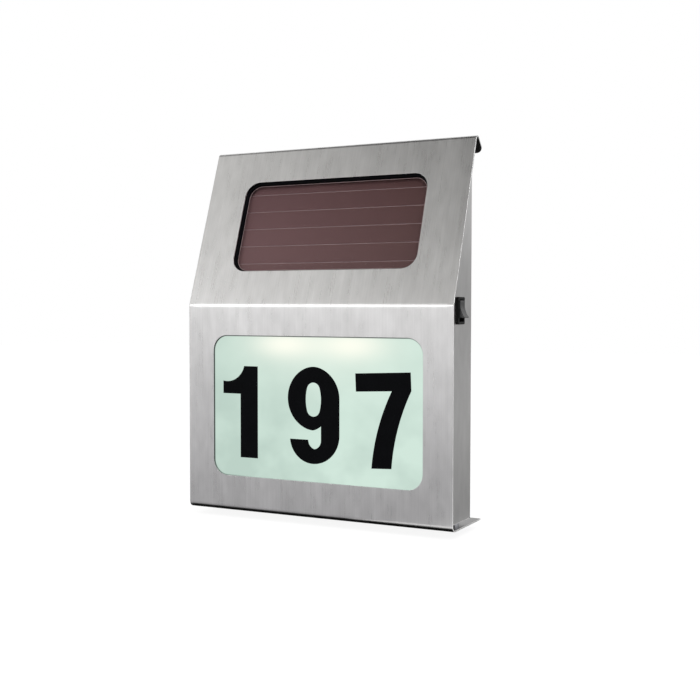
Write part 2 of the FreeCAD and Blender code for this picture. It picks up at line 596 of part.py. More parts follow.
def make_digits():
    start = "cover_steel - digit_thick"
    stem_left, right = across("one_right - digit_stem"), across("one_right")
    left = across("one_left")
    plate("digit_one", start, "digit_thick",
          [(left, "one_flag_low"), (stem_left, "one_flag_low"), (stem_left, "digit_base"),
           (right, "digit_base"), (right, "digit_top"),
           (across("one_right - one_shoulder"), "digit_top", "-one_curve"), (left, "one_flag_high")])
    plate("digit_seven", start, "digit_thick",
          [seven_corner("seven_left", "seven_bar_low"),
           (*seven_corner("seven_inner", "seven_bar_low"), "seven_curve"),
           seven_corner("seven_foot_left", "seven_foot"),
           (*seven_corner("seven_foot_right", "seven_foot"), "-seven_curve"),
           seven_corner("seven_right", "seven_bar_low"), seven_corner("seven_right", "seven_top"),
           seven_corner("seven_left", "seven_top")])
    make_nine(start)


def seven_corner(over, up):
    """A corner of the seven, which stands a little turned about its own centre."""
    return (across(f"seven_centre + {over} * cos(seven_turn) - {up} * sin(seven_turn)"),
            f"seven_middle + {over} * sin(seven_turn) + {up} * cos(seven_turn)")


def make_nine(start):
    half, mid = f"({across('nine_half_width')})", f"({across('nine_centre')})"
    hole = f"({across('nine_hole_half')})"
    bottom, top = "(digit_base - nine_overshoot)", "(digit_top + nine_overshoot)"
    bowl_mid = f"(({top} + nine_bowl_low) / 2)"
    bowl_half = f"(({top} - nine_bowl_low) / 2)"
    end_curve = f"({half} * 0.8)"
    inner = f"({mid} + {hole})"
    left_up = quarter(mid, bowl_mid, "-1", "1", half, bowl_half, end_curve)
    right_up = quarter(mid, bowl_mid, "1", "1", half, bowl_half, end_curve)
    left_low = quarter(mid, bowl_mid, "-1", "-1", half, bowl_half, end_curve)
    right_low = quarter(mid, "nine_side_low", "1", "-1", half, f"nine_side_low - {bottom}", end_curve)
    end_left, end_right = across("nine_end_left"), across("nine_end_right")
    hook_mid = f"(({end_right} + {inner}) / 2)"
    hook_half = f"(({inner} - {end_right}) / 2)"
    corners = [
        # clockwise from the left of the bowl, over the top and down the right side
        (*left_up[0]["at"], f"-({left_up[0]['r']})"),
        (*left_up[1]["at"], f"-({left_up[1]['r']})"),
        (*left_up[2]["at"], f"-({right_up[1]['r']})"),
        (*right_up[1]["at"], f"-({right_up[0]['r']})"),
        (*right_up[0]["at"],),
        (*right_low[0]["at"], f"-({right_low[0]['r']})"),
        (*right_low[1]["at"], f"-({right_low[1]['r']})"),
        (*right_low[2]["at"], f"-({half} * 0.9)"),
        (end_left, "nine_end_height"),
        (end_right, "nine_end_height", f"{hook_half} * 1.25"),
        (hook_mid, "nine_hook_low", f"{hook_half} * 1.25"),
        (inner, "nine_end_height"),
        (inner, f"nine_bowl_low + {hook_half} * 0.62", f"-({half} * 0.75)"),
        (*left_low[2]["at"], f"-({left_low[1]['r']})"),
        (*left_low[1]["at"], f"-({left_low[0]['r']})"),
    ]
    hole_mid = "((nine_hole_low + nine_hole_high) / 2)"
    hole_half = "((nine_hole_high - nine_hole_low) / 2)"
    hole_end = f"({hole} * 0.85)"
    up = [quarter(mid, hole_mid, s, "1", hole, hole_half, hole_end) for s in ("1", "-1")]
    low = [quarter(mid, hole_mid, s, "-1", hole, hole_half, hole_end) for s in ("1", "-1")]
    counter = [
        (*up[0][0]["at"], up[0][0]["r"]), (*up[0][1]["at"], up[0][1]["r"]),
        (*up[0][2]["at"], up[1][1]["r"]), (*up[1][1]["at"], up[1][0]["r"]),
        (*up[1][0]["at"], low[1][0]["r"]), (*low[1][1]["at"], low[1][1]["r"]),
        (*low[1][2]["at"], low[0][1]["r"]), (*low[0][1]["at"], low[0][0]["r"]),
    ]
    plate("digit_nine", start, "digit_thick", corners, counter)


# --- solar panel -------------------------------------------------------------------------------
def make_solar_panel():
    window = SOLAR_X
    outer = rect(f"-{FRAME_X}", FRAME_X, f"{SOLAR_MID} - {FRAME_HALF}", f"{SOLAR_MID} + {FRAME_HALF}")
    panel = rect(f"-{PANEL_X}", PANEL_X, f"{SOLAR_MID} - {PANEL_HALF}",
                 f"{SOLAR_MID} + {PANEL_HALF}")
    plate("solar_gasket", "cover_steel", "solar_seal_thick", outer,
          middle_rounded(f"{window} + solar_seal_gap", SOLAR_MID, f"{SOLAR_HALF} + solar_seal_gap",
                         "(window_corner + solar_seal_gap)"), frame="slant")
    frame = new_body("solar_frame")
    pad(frame, "frame_block", "front", SOLAR_LIP_Y, f"{SOLAR_PLATE_Y} - {SOLAR_LIP_Y}", outer,
        middle_rounded(f"{window} - solar_lip_show", SOLAR_MID, f"{SOLAR_HALF} - solar_lip_show",
                       "(window_corner - solar_lip_show)"))
    pocket(frame, "panel_recess", "front", SOLAR_GLASS_Y, f"{SOLAR_PLATE_Y} - {SOLAR_GLASS_Y} + overcut",
           rect(f"-({PANEL_X} + panel_gap)", f"{PANEL_X} + panel_gap",
                f"{SOLAR_MID} - {PANEL_HALF} - panel_gap", f"{SOLAR_MID} + {PANEL_HALF} + panel_gap"))
    seat(frame, "solar_frame", "slant")
    plate("solar_glass", SOLAR_GLASS_Y, "solar_glass", panel, frame="slant")
    strips = [block(f"-{PANEL_X}", PANEL_X, SOLAR_CELL_Y, SOLAR_BACK_Y,
                    f"{SOLAR_MID} - {PANEL_HALF} + {i} * {CELL_PITCH} + cell_line / 2",
                    f"{SOLAR_MID} - {PANEL_HALF} + {i + 1} * {CELL_PITCH} - cell_line / 2")
              for i in range(int(value("cell_count")))]
    group("solar_cells", strips, "slant")
    plate("solar_backing", SOLAR_BACK_Y, "panel_back", panel, frame="slant")
    ears = []
    for x0, x1 in ((f"{FRAME_X} - overcut", f"{FRAME_X} + solar_ear_reach"),
                   (f"-({FRAME_X} + solar_ear_reach)", f"-({FRAME_X} - overcut)")):
        for height in SOLAR_EARS:
            ears.append(rect(x0, x1, f"{height} - solar_ear_height / 2",
                             f"{height} + solar_ear_height / 2"))
    cover = new_body("solar_back_plate")
    pad(cover, "back_plate_pad", "front", SOLAR_PLATE_Y, "back_plate", outer)
    for number, ear in enumerate(ears):
        pad(cover, f"back_plate_ear_{number}", "front", SOLAR_PLATE_Y, "back_plate", ear)
    pocket(cover, "back_plate_holes", "front", f"{SOLAR_PLATE_Y} - overcut",
           "back_plate + 2 * overcut",
           *[("round", sign + SOLAR_EAR_X, height, "stud_radius + screw_gap")
             for sign in ("", "-") for height in SOLAR_EARS],
           *[("round", x, SOLAR_EARS[0], "lead_hole / 2") for x in solar_lead_places()])
    seat(cover, "solar_back_plate", "slant")


def solar_lead_places():
    return ["lead_place - lead_pitch / 2", "lead_place + lead_pitch / 2"]


# --- studs, nuts, screws -----------------------------------------------------------------------
def make_fasteners():
    front, slant = [], []
    reach = f"{TRAY_Y} + ear_thick + nut_thick + thread_spare - cover_steel"
    tab_reach = "housing_steel + nut_thick + thread_spare"
    solar_reach = f"{SOLAR_REAR_Y} + nut_thick + thread_spare - cover_steel"
    front_nuts, slant_nuts = [], []
    bore = "stud_radius + nut_bore_gap"
    for sign in ("", "-"):
        for height in ("ear_low", "ear_high"):
            x = sign + EAR_X
            front.append(rod("y", x, "cover_steel", height, "stud_radius", reach))
            front_nuts.append(nut("y", x, f"{TRAY_Y} + ear_thick", height, "nut_flat_radius", bore,
                                  "nut_thick"))
        front.append(rod("y", sign + TAB_X, "cover_steel", "lower_tab_height", "stud_radius", tab_reach))
        front_nuts.append(nut("y", sign + TAB_X, "cover_steel + housing_steel", "lower_tab_height",
                              "nut_flat_radius", bore, "nut_thick"))
        for height in SOLAR_EARS:
            x = sign + SOLAR_EAR_X
            slant.append(rod("y", x, "cover_steel", height, "stud_radius", solar_reach))
            slant_nuts.append(nut("y", x, SOLAR_REAR_Y, height, "nut_flat_radius", bore, "nut_thick"))
        slant.append(rod("y", sign + TAB_X, "cover_steel", SOLAR_MID, "stud_radius", tab_reach))
        slant_nuts.append(nut("y", sign + TAB_X, "cover_steel + housing_steel", SOLAR_MID,
                              "nut_flat_radius", bore, "nut_thick"))
    group("front_studs", front)
    group("front_nuts", front_nuts)
    group("solar_studs", slant, "slant")
    group("solar_nuts", slant_nuts, "slant")
    group("base_spacers", both(lambda sign: pipe(
        "z", sign + TAB_X, "spacer_depth", "cover_steel", "spacer_radius",
        "stud_radius + screw_gap", "housing_bottom - cover_steel")))
    floor_top = "housing_bottom + housing_steel"

    def base_screw(sign):
        x = sign + TAB_X
        return fuse(rod("z", x, "spacer_depth", "-screw_head_thick", "screw_head", "screw_head_thick"),
                    rod("z", x, "spacer_depth", "0", "stud_radius",
                        f"{floor_top} + nut_thick + thread_spare"))

    group("base_screws", both(base_screw))
    group("base_nuts", both(lambda sign: nut(
        "z", sign + TAB_X, "spacer_depth", floor_top, "nut_flat_radius", bore, "nut_thick")))

    def lock_screw(sign):
        x = f"{sign}lock_place"
        return fuse(rod("z", x, LOCK_Y, "-screw_head_thick", "lock_head", "screw_head_thick"),
                    rod("z", x, LOCK_Y, "0", "lock_screw", f"{TAB_TOP} + lock_nut_thick + thread_spare"))

    group("locking_screws", both(lock_screw))
    group("locking_nuts", both(lambda sign: nut(
        "z", f"{sign}lock_place", LOCK_Y, TAB_TOP, "lock_nut_radius",
        "lock_screw + nut_bore_gap", "lock_nut_thick")))


# --- wall bracket: screwed to the wall, its cleat carries the cover's rear leg -----------------
def make_wall_bracket():
    ls, lc = "sin(leg_tilt)", "cos(leg_tilt)"
    outer, inner = f"(fold_radius - {CLEAT})", f"(fold_radius - {CLEAT} - bracket_steel)"

    def on_cleat(offset, y):
        return f"{FOLD_Z} + {offset} * {ls} - ({y} - {FOLD_Y} - {offset} * {lc}) / tan(leg_tilt)"

    def along(offset, run):
        return (f"{FOLD_Y} + {offset} * {lc} + {run} * {ls}",
                f"{FOLD_Z} + {offset} * {ls} - {run} * {lc}")

    front = f"({WALL} - bracket_steel)"
    body = new_body("wall_bracket")
    pad(body, "bracket_sheet", "side", "-bracket_width / 2", "bracket_width",
        [(WALL, CLEAT), (WALL, on_cleat(outer, WALL)), along(outer, "cleat_start"),
         along(inner, "cleat_start"), (front, on_cleat(inner, front)), (front, TAB_TOP),
         (f"{WALL} - bracket_tab", TAB_TOP), (f"{WALL} - bracket_tab", CLEAT)])
    pocket(body, "wall_screw_holes", "front", f"{front} - overcut", "bracket_steel + 2 * overcut",
           *[("round", f"{sign}wall_holes_wide / 2", f"mount_height {side} wall_holes_tall / 2",
              "wall_hole") for sign in ("", "-") for side in ("+", "-")])
    pocket(body, "lock_screw_holes", "floor", f"{CLEAT} - overcut", "bracket_steel + 2 * overcut",
           *[("round", f"{sign}lock_place", LOCK_Y, "lock_screw + screw_gap")
             for sign in ("", "-")])
    seat(body, "wall_bracket")


# --- battery compartment -----------------------------------------------------------------------
def make_battery():
    mid = f"((battery_low + {BATTERY_HIGH}) / 2)"
    box = new_body("battery_box")
    pad(box, "box_block", "front", f"{BATTERY_Y} - battery_wall", f"{BACK_IN} - {BATTERY_Y} + battery_wall",
        rect(f"-{BATTERY_X}", BATTERY_X, "battery_low", BATTERY_HIGH))
    pad(box, "box_flange", "front", f"{BACK_IN} - battery_flange_thick", "battery_flange_thick",
        rect(f"-({BATTERY_X} + battery_flange)", f"{BATTERY_X} + battery_flange",
             f"{mid} - battery_flange", f"{mid} + battery_flange"))
    pocket(box, "box_hollow", "front", BATTERY_Y, f"{BACK_IN} - {BATTERY_Y} + overcut",
           rect(f"-{BATTERY_IN}", BATTERY_IN, "battery_low + battery_wall",
                f"{BATTERY_HIGH} - battery_wall"))
    pocket(box, "box_screw_holes", "front", f"{BACK_IN} - battery_flange_thick - overcut",
           "battery_flange_thick + 2 * overcut", *door_holes("stud_radius + small_gap"))
    seat(box, "battery_box")

    far = f"({BATTERY_IN} - contact_thick)"
    spring_room = "(battery_end_gap - 2 * contact_thick)"
    cells, contacts, springs = [], [], []
    for height, spring_side in ((CELL_LOW, "-"), (CELL_HIGH, "")):
        if spring_side == "-":
            start = f"-{far} + {spring_room}"
            body_x, nub_x = start, f"{start} + cell_body"
        else:
            body_x, nub_x = f"-{far} + cell_nub", f"-{far}"
        cells.append(fuse(rod("x", body_x, CELL_Y, height, "cell_radius", "cell_body"),
                          rod("x", nub_x, CELL_Y, height, "cell_nub_radius", "cell_nub")))
        for x0, x1 in ((f"-{BATTERY_IN}", f"-{far}"), (far, BATTERY_IN)):
            contacts.append(block(x0, x1, f"{CELL_Y} - contact_size / 2", f"{CELL_Y} + contact_size / 2",
                                  f"{height} - contact_size / 2", f"{height} + contact_size / 2"))
        springs.append(make_spring(spring_side, far, height, spring_room))
    group("battery_cells", cells)
    group("battery_contacts", contacts)
    group("battery_springs", springs)

    over = "door_overlap"
    opening = rect(f"-{BATTERY_IN}", BATTERY_IN, "battery_low + battery_wall",
                   f"{BATTERY_HIGH} - battery_wall")
    rim = rounded(f"-({BATTERY_X} + {over})", f"{BATTERY_X} + {over}", f"battery_low - {over}",
                  f"{BATTERY_HIGH} + {over}", "door_corner")
    holes = door_holes("stud_radius + screw_gap")
    plate("door_seal", "housing_depth", "seal_thick", rim, opening, *holes)
    plate("battery_door", DOOR_Y, "door_thick", rim, *holes)
    head_y = f"{DOOR_Y} + door_thick"

    def door_screw(sign):
        x = f"{sign}door_screw_place"
        return fuse(rod("y", x, f"{head_y} - door_screw_length", mid, "stud_radius", "door_screw_length"),
                    rod("y", x, head_y, mid, "screw_head", "screw_head_thick"))

    group("door_screws", both(door_screw))


def make_spring(side, far, z, room):
    """A bowed leaf spring that presses the cell away from the contact plate at the far end."""
    outer = f"((leaf_half^2 + ({room})^2) / (2 * ({room})))"
    inner = f"({outer} - leaf_thick)"
    foot = f"sqrt({inner}^2 - ({outer} - ({room}))^2)"
    away, back = ("", "-") if side == "-" else ("-", "")
    x = side + far
    body = doc.addObject("PartDesign::Body", "battery_spring_body")
    pad(body, "leaf", "floor", f"{z} - leaf_width / 2", "leaf_width",
        [(x, f"{CELL_Y} - leaf_half", away + outer), (x, f"{CELL_Y} + leaf_half"),
         (x, f"{CELL_Y} + {foot}", back + inner), (x, f"{CELL_Y} - {foot}")])
    return body


# --- control board and what it carries ---------------------------------------------------------
def board_corners():
    return [(x, z) for x in (f"{CONTROL_LEFT} + standoff_inset", f"{CONTROL_RIGHT} - standoff_inset")
            for z in ("control_low + standoff_inset", f"{CONTROL_HIGH} - standoff_inset")]


def make_control_board():
    plate("control_board", CONTROL_Y, "board_thick",
          rect(CONTROL_LEFT, CONTROL_RIGHT, "control_low", CONTROL_HIGH),
          *[("round", x, z, "small_screw + small_gap") for x, z in board_corners()])
    group("board_standoffs", [pipe("y", x, CONTROL_BACK, z, "standoff_radius",
                                   "small_screw + small_gap", "standoff_length")
                              for x, z in board_corners()])
    head_y = f"{CONTROL_Y} - small_head_thick"
    group("board_screws", [fuse(rod("y", x, head_y, z, "small_head", "small_head_thick"),
                                rod("y", x, CONTROL_Y, z, "small_screw", "board_thick + small_bite"))
                           for x, z in board_corners()])
    chip_x, chip_z = f"{CONTROL_LEFT} + chip_x", "control_low + chip_z"
    group("charge_chip", [block(chip_x, f"{chip_x} + chip_length", f"{CONTROL_Y} - chip_thick",
                                CONTROL_Y, chip_z, f"{chip_z} + chip_width")])
    group("board_capacitor", [rod("y", f"{CONTROL_LEFT} + capacitor_x", f"{CONTROL_Y} - capacitor_length",
                                  "control_low + capacitor_z", "capacitor_radius",
                                  "capacitor_length")])
    coil_x, coil_z = f"{CONTROL_LEFT} + coil_x", "control_low + coil_z"
    front = f"{CONTROL_Y} - coil_length"
    group("board_coil", [fuse(rod("y", coil_x, front, coil_z, "coil_radius", "coil_flange"),
                              rod("y", coil_x, front, coil_z, "coil_core", "coil_length"),
                              rod("y", coil_x, f"{CONTROL_Y} - coil_flange", coil_z, "coil_radius",
                                  "coil_flange"))])
    group("board_resistors", [rod("x", f"{CONTROL_LEFT} + resistor_x", f"{CONTROL_Y} - resistor_radius",
                                  f"control_low + resistor_z + {i} * resistor_pitch",
                                  "resistor_radius", "resistor_length")
                              for i in range(int(value("resistor_count")))])


# --- rocker switch -----------------------------------------------------------------------------
def make_switch():
    low_y, high_y = "switch_depth - switch_opening_depth / 2", "switch_depth + switch_opening_depth / 2"
    low_z, high_z = "switch_height - switch_opening_height / 2", "switch_height + switch_opening_height / 2"
    body = new_body("switch_body")
    pad(body, "bezel", "side", HOUSING_X, "bezel_thick",
        rounded("switch_depth - bezel_depth / 2", "switch_depth + bezel_depth / 2",
                "switch_height - bezel_height / 2", "switch_height + bezel_height / 2",
                "bezel_corner"))
    pad(body, "barrel", "side", SWITCH_REAR, "switch_body_length",
        rect(f"{low_y} - switch_wall", f"{high_y} + switch_wall",
             f"{low_z} - switch_wall", f"{high_z} + switch_wall"))
    pocket(body, "cavity", "side", f"{SWITCH_REAR} + switch_floor",
           f"{BEZEL_X} - {SWITCH_REAR} - switch_floor + overcut", rect(low_y, high_y, low_z, high_z))
    pin_y = f"{low_y} - pivot_grip"
    pin_length = "switch_opening_depth + 2 * pivot_grip"
    pocket(body, "pin_seat", "front", pin_y, pin_length,
           ("round", PIVOT_X, "switch_height", "pivot_radius"))
    seat(body, "switch_body")
    group("switch_pin", [rod("y", PIVOT_X, pin_y, "switch_height", "pivot_radius", pin_length)])
    dish = "((rocker_half^2 + rocker_dish^2) / (2 * rocker_dish))"
    rocker = new_body("switch_rocker")
    width = "(switch_opening_depth - 2 * rocker_side_gap)"
    pad(rocker, "rocker_block", "front", f"-{width} / 2", width,
        [("-rocker_sink", "-rocker_root"), ("rocker_rise", "-rocker_half", f"-{dish}"),
         ("rocker_rise", "rocker_half"), ("-rocker_sink", "rocker_root")],
        ("round", "0", "0", "pivot_radius + pivot_gap"))
    rise, half = value("rocker_rise"), value("rocker_half")
    fillet(rocker, "rocker_tips", "rocker_edge",
           lambda m, d: abs(m.x - rise) < 0.01 and abs(abs(m.z) - half) < 0.01 and abs(d.y) > 0.9)
    rocker.Label = "switch_rocker"
    rocker.Placement = FreeCAD.Placement(Vec(), FreeCAD.Rotation(Vec(0, -1, 0), value("switch_tilt")))
    bind(rocker, "Placement.Rotation.Angle", "switch_tilt")
    bind(rocker, "Placement.Base.x", PIVOT_X)
    bind(rocker, "Placement.Base.y", f"switch_depth - {WALL}")
    bind(rocker, "Placement.Base.z", "switch_height - mount_height")
    pieces.append(rocker)
    group("switch_terminals", [block(f"{SWITCH_REAR} - blade_length", SWITCH_REAR,
                                     "switch_depth - blade_width / 2", "switch_depth + blade_width / 2",
                                     f"switch_height {sign} blade_offset - blade_thick / 2",
                                     f"switch_height {sign} blade_offset + blade_thick / 2")
                               for sign in ("+", "-")])


# --- leads between the electrical pieces -------------------------------------------------------
def lead(points):
    """A round lead along straight runs joined by tangent arcs, as large as the runs allow."""
    radius = value("lead_radius")
    edges = []
    bends = []
    here = points[0]
    for before, corner, after in zip(points, points[1:], points[2:]):
        back, ahead = (before - corner), (after - corner)
        turn = math.pi - back.getAngle(ahead)
        short = 0.45 * min(back.Length, ahead.Length)
        bend = short / math.tan(turn / 2)
        bends.append(bend)
        start = corner + back.normalize() * short
        end = corner + ahead.normalize() * short
        centre_way = (start + end) * 0.5 - corner
        reach = math.hypot(short, bend) - bend
        middle = corner + centre_way.normalize() * reach
        edges.append(Part.LineSegment(here, start).toShape())
        edges.append(Part.Arc(start, middle, end).toShape())
        here = end
    edges.append(Part.LineSegment(here, points[-1]).toShape())
    path = Part.Wire(edges)
    way = (points[1] - points[0]).normalize()
    ring = Part.Wire([Part.Circle(points[0], way, radius).toShape()])
    tube = path.makePipeShell([ring], True, False)
    wanted = math.pi * radius ** 2 * path.Length
    if abs(tube.Volume / wanted - 1) > 0.01:
        raise RuntimeError("a lead's tube is not its length times its section")
    return tube, path.Length, bends


def make_leads(label, routes):
    shapes = []
    for points in routes:
        corners = [Vec(*[value(number) for number in point]) for point in points]
        tube, length, bends = lead(corners)
        shape = f"tightest bend {min(bends):.1f} mm" if bends else "straight"
        print(f"{label}: {length:.0f} mm long, {shape}")
        shapes.append(tube)
    thing = doc.addObject("Part::Feature", label)
    thing.Shape = Part.makeCompound(shapes)
    thing.Placement = FreeCAD.Placement(Vec(0, -value(WALL), -value("mount_height")), FreeCAD.Rotation())
    thing.Label = label
    pieces.append(thing)


def make_wiring():
    face = f"({CONTROL_Y} - lead_radius - lead_lift)"
    pad_z = f"({CONTROL_HIGH} - 2 * lead_run)"
    solar, lamp, switch, battery = [], [], [], []
    ear = SOLAR_EARS[0]
    exit_y = f"({ear} * sin(slant_tilt) + {SOLAR_PLATE_Y} * cos(slant_tilt))"
    exit_z = f"(bend_height + {ear} * cos(slant_tilt) - {SOLAR_PLATE_Y} * sin(slant_tilt))"
    for number, x in enumerate(solar_lead_places()):
        end_x = f"({CONTROL_LEFT} + 3.5 * lead_run + {number} * lead_pitch)"
        solar.append([(x, exit_y, exit_z),
                      (x, f"{exit_y} + 2.8 * lead_run * cos(slant_tilt)",
                       f"{exit_z} - 2.8 * lead_run * sin(slant_tilt)"),
                      (f"{x} - 2 * lead_run", f"{exit_y} + 3 * lead_run", f"{exit_z} - 4 * lead_run"),
                      (f"{end_x} + lead_run", face, f"{CONTROL_HIGH} + 7.5 * lead_run"),
                      (end_x, face, f"{CONTROL_HIGH} + 2.5 * lead_run"), (end_x, face, pad_z)])
        lamp_x = "(lead_pitch - lamp_board_width / 2)"
        lamp_y = f"({LAMP_Y} + (1 - 2 * {number}) * lead_pitch / 2)"
        lamp_z = f"({LAMP_BOARD_Z} + board_thick)"
        end_x = f"({CONTROL_LEFT} + 6 * lead_run - {number} * lead_pitch)"
        lamp.append([(lamp_x, lamp_y, lamp_z), (lamp_x, lamp_y, f"{lamp_z} + 2 * lead_run"),
                     (f"{lamp_x} - 3 * lead_run", f"{lamp_y} + lead_run", f"{lamp_z} + 2 * lead_run"),
                     (f"{end_x} + lead_run", f"{LAMP_Y} + 3.5 * lead_run", f"{lamp_z} + 1.3 * lead_run"),
                     (end_x, face, f"{CONTROL_HIGH} + 3 * lead_run"), (end_x, face, pad_z)])
        sign = "+" if number == 0 else "-"
        blade_x, blade_z = f"({SWITCH_REAR} - blade_length)", f"(switch_height {sign} blade_offset)"
        end_x = f"({CONTROL_LEFT} + 8 * lead_run + {number} * lead_pitch)"
        switch.append([(blade_x, "switch_depth", blade_z),
                       (f"{blade_x} - 4.5 * lead_run", "switch_depth", blade_z),
                       (f"{blade_x} - 10 * lead_run", "switch_depth + 3 * lead_run",
                        f"switch_height {sign} lead_pitch"),
                       (f"{blade_x} - 22 * lead_run", face, f"switch_height - lead_run {sign} lead_pitch"),
                       (f"{end_x} + 4.5 * lead_run", face,
                        f"switch_height - 2 * lead_run {sign} lead_pitch / 2"),
                       (end_x, face, f"{CONTROL_HIGH} + 4 * lead_run {sign} lead_pitch"),
                       (end_x, face, pad_z)])
        high = f"((battery_low + {BATTERY_HIGH}) / 2 {sign} lead_pitch)"
        battery.append([(f"-{BATTERY_X}", face, high), (f"{CONTROL_RIGHT} - 1.5 * lead_run", face, high)])
    make_leads("solar_leads", solar)
    make_leads("lamp_leads", lamp)
    make_leads("switch_leads", switch)
    make_leads("battery_leads", battery)


make_front_cover()
make_housing()
make_light_box()
make_lamps()
make_digits()
make_solar_panel()
make_fasteners()
make_wall_bracket()
make_battery()
make_control_board()
make_switch()
make_wiring()
doc.recompute()

for thing in doc.Objects:
    if "Invalid" in thing.State or "Error" in thing.State:
        raise RuntimeError(f"{thing.Name} failed: {thing.State}")
os.makedirs("parts", exist_ok=True)
for piece in pieces:
    shape = piece.Shape
    if shape.isNull() or not shape.isValid() or not shape.Solids:
        raise RuntimeError(f"{piece.Label} has no valid solid")
    shape.exportStep(f"parts/{piece.Label}.step")
    print(f"{piece.Label}: {len(shape.Solids)} solid(s), {shape.Volume:.1f} mm3")
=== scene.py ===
"""Looks for the illuminated house number sign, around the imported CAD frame.

Everything is in metres, in the frame of the wall mount: X to the viewer's right, Y into the
wall, Z up. The sign hangs on the wall plane y = 0.
"""
import math

import bpy
from mathutils import Matrix, Quaternion, Vector


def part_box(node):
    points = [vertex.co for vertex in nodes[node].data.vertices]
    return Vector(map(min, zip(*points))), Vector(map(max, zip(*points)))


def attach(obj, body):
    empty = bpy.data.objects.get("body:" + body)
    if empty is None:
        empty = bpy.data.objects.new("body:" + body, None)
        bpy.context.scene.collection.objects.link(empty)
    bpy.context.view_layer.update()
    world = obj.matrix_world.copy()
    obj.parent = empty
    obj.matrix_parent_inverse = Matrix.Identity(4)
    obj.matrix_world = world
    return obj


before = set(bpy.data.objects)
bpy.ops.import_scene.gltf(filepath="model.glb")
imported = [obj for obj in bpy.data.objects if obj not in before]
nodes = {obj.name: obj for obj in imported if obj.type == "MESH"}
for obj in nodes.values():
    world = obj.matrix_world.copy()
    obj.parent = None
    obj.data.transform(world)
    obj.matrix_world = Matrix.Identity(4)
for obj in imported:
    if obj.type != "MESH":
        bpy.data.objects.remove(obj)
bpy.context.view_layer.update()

# --- places on the sign ------------------------------------------------------------------------
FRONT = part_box("front_cover")[0].y          # the sign's front face
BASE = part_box("front_cover")[0].z           # underside of the base flange
BEND = BASE + 0.1567                        # where the face starts to slant
TILT = math.radians(19.2)
WINDOW_CORNER = 0.012                       # corner radius of both windows
NUMBER_HALF = 0.0874                        # number window in the upright face
NUMBER_LOW, NUMBER_HIGH = BASE + 0.027, BASE + 0.134
SOLAR_HALF = 0.0774                         # solar window in the slanted face
SOLAR_LOW, SOLAR_HIGH = 0.0275, 0.1015      # up the slant from the bend
GLASS_DEPTH = 0.0040                        # front of the solar glass behind the face
GLASS_GAP = 0.00006                         # the glass stands this far off the cells it touches
LIP = 0.001                                 # how far the panel's frame shows inside its window
SHADE_RING_EDGE = 0.0020                             # inner edge of the painted shade ring inside the window
LINE_HALF = 0.00018                         # half the width of the painted highlight line along that edge
CORNER_STEPS = 8

# The screws come in pairs, at x = -place and place; a row is where both heads' centres lie.
BASE_SCREW_PLACE, BASE_SCREW_ROW = 0.1035, FRONT + 0.020
LOCK_SCREW_PLACE, LOCK_SCREW_ROW = 0.050, -0.0143
DOOR_SCREW_PLACE = 0.033
DOOR_SCREW_ROW = sum(corner.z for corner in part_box("battery_door")) / 2


# --- small node-tree helpers -------------------------------------------------------------------
BEVEL_SAMPLES = 16
MIX_FIRST, MIX_SECOND, MIX_RESULT = 6, 7, 2     # the Mix node's sockets for colours
NOISE_BAND = (0.3, 0.7)                     # the middle of a noise's range, where most of it lies


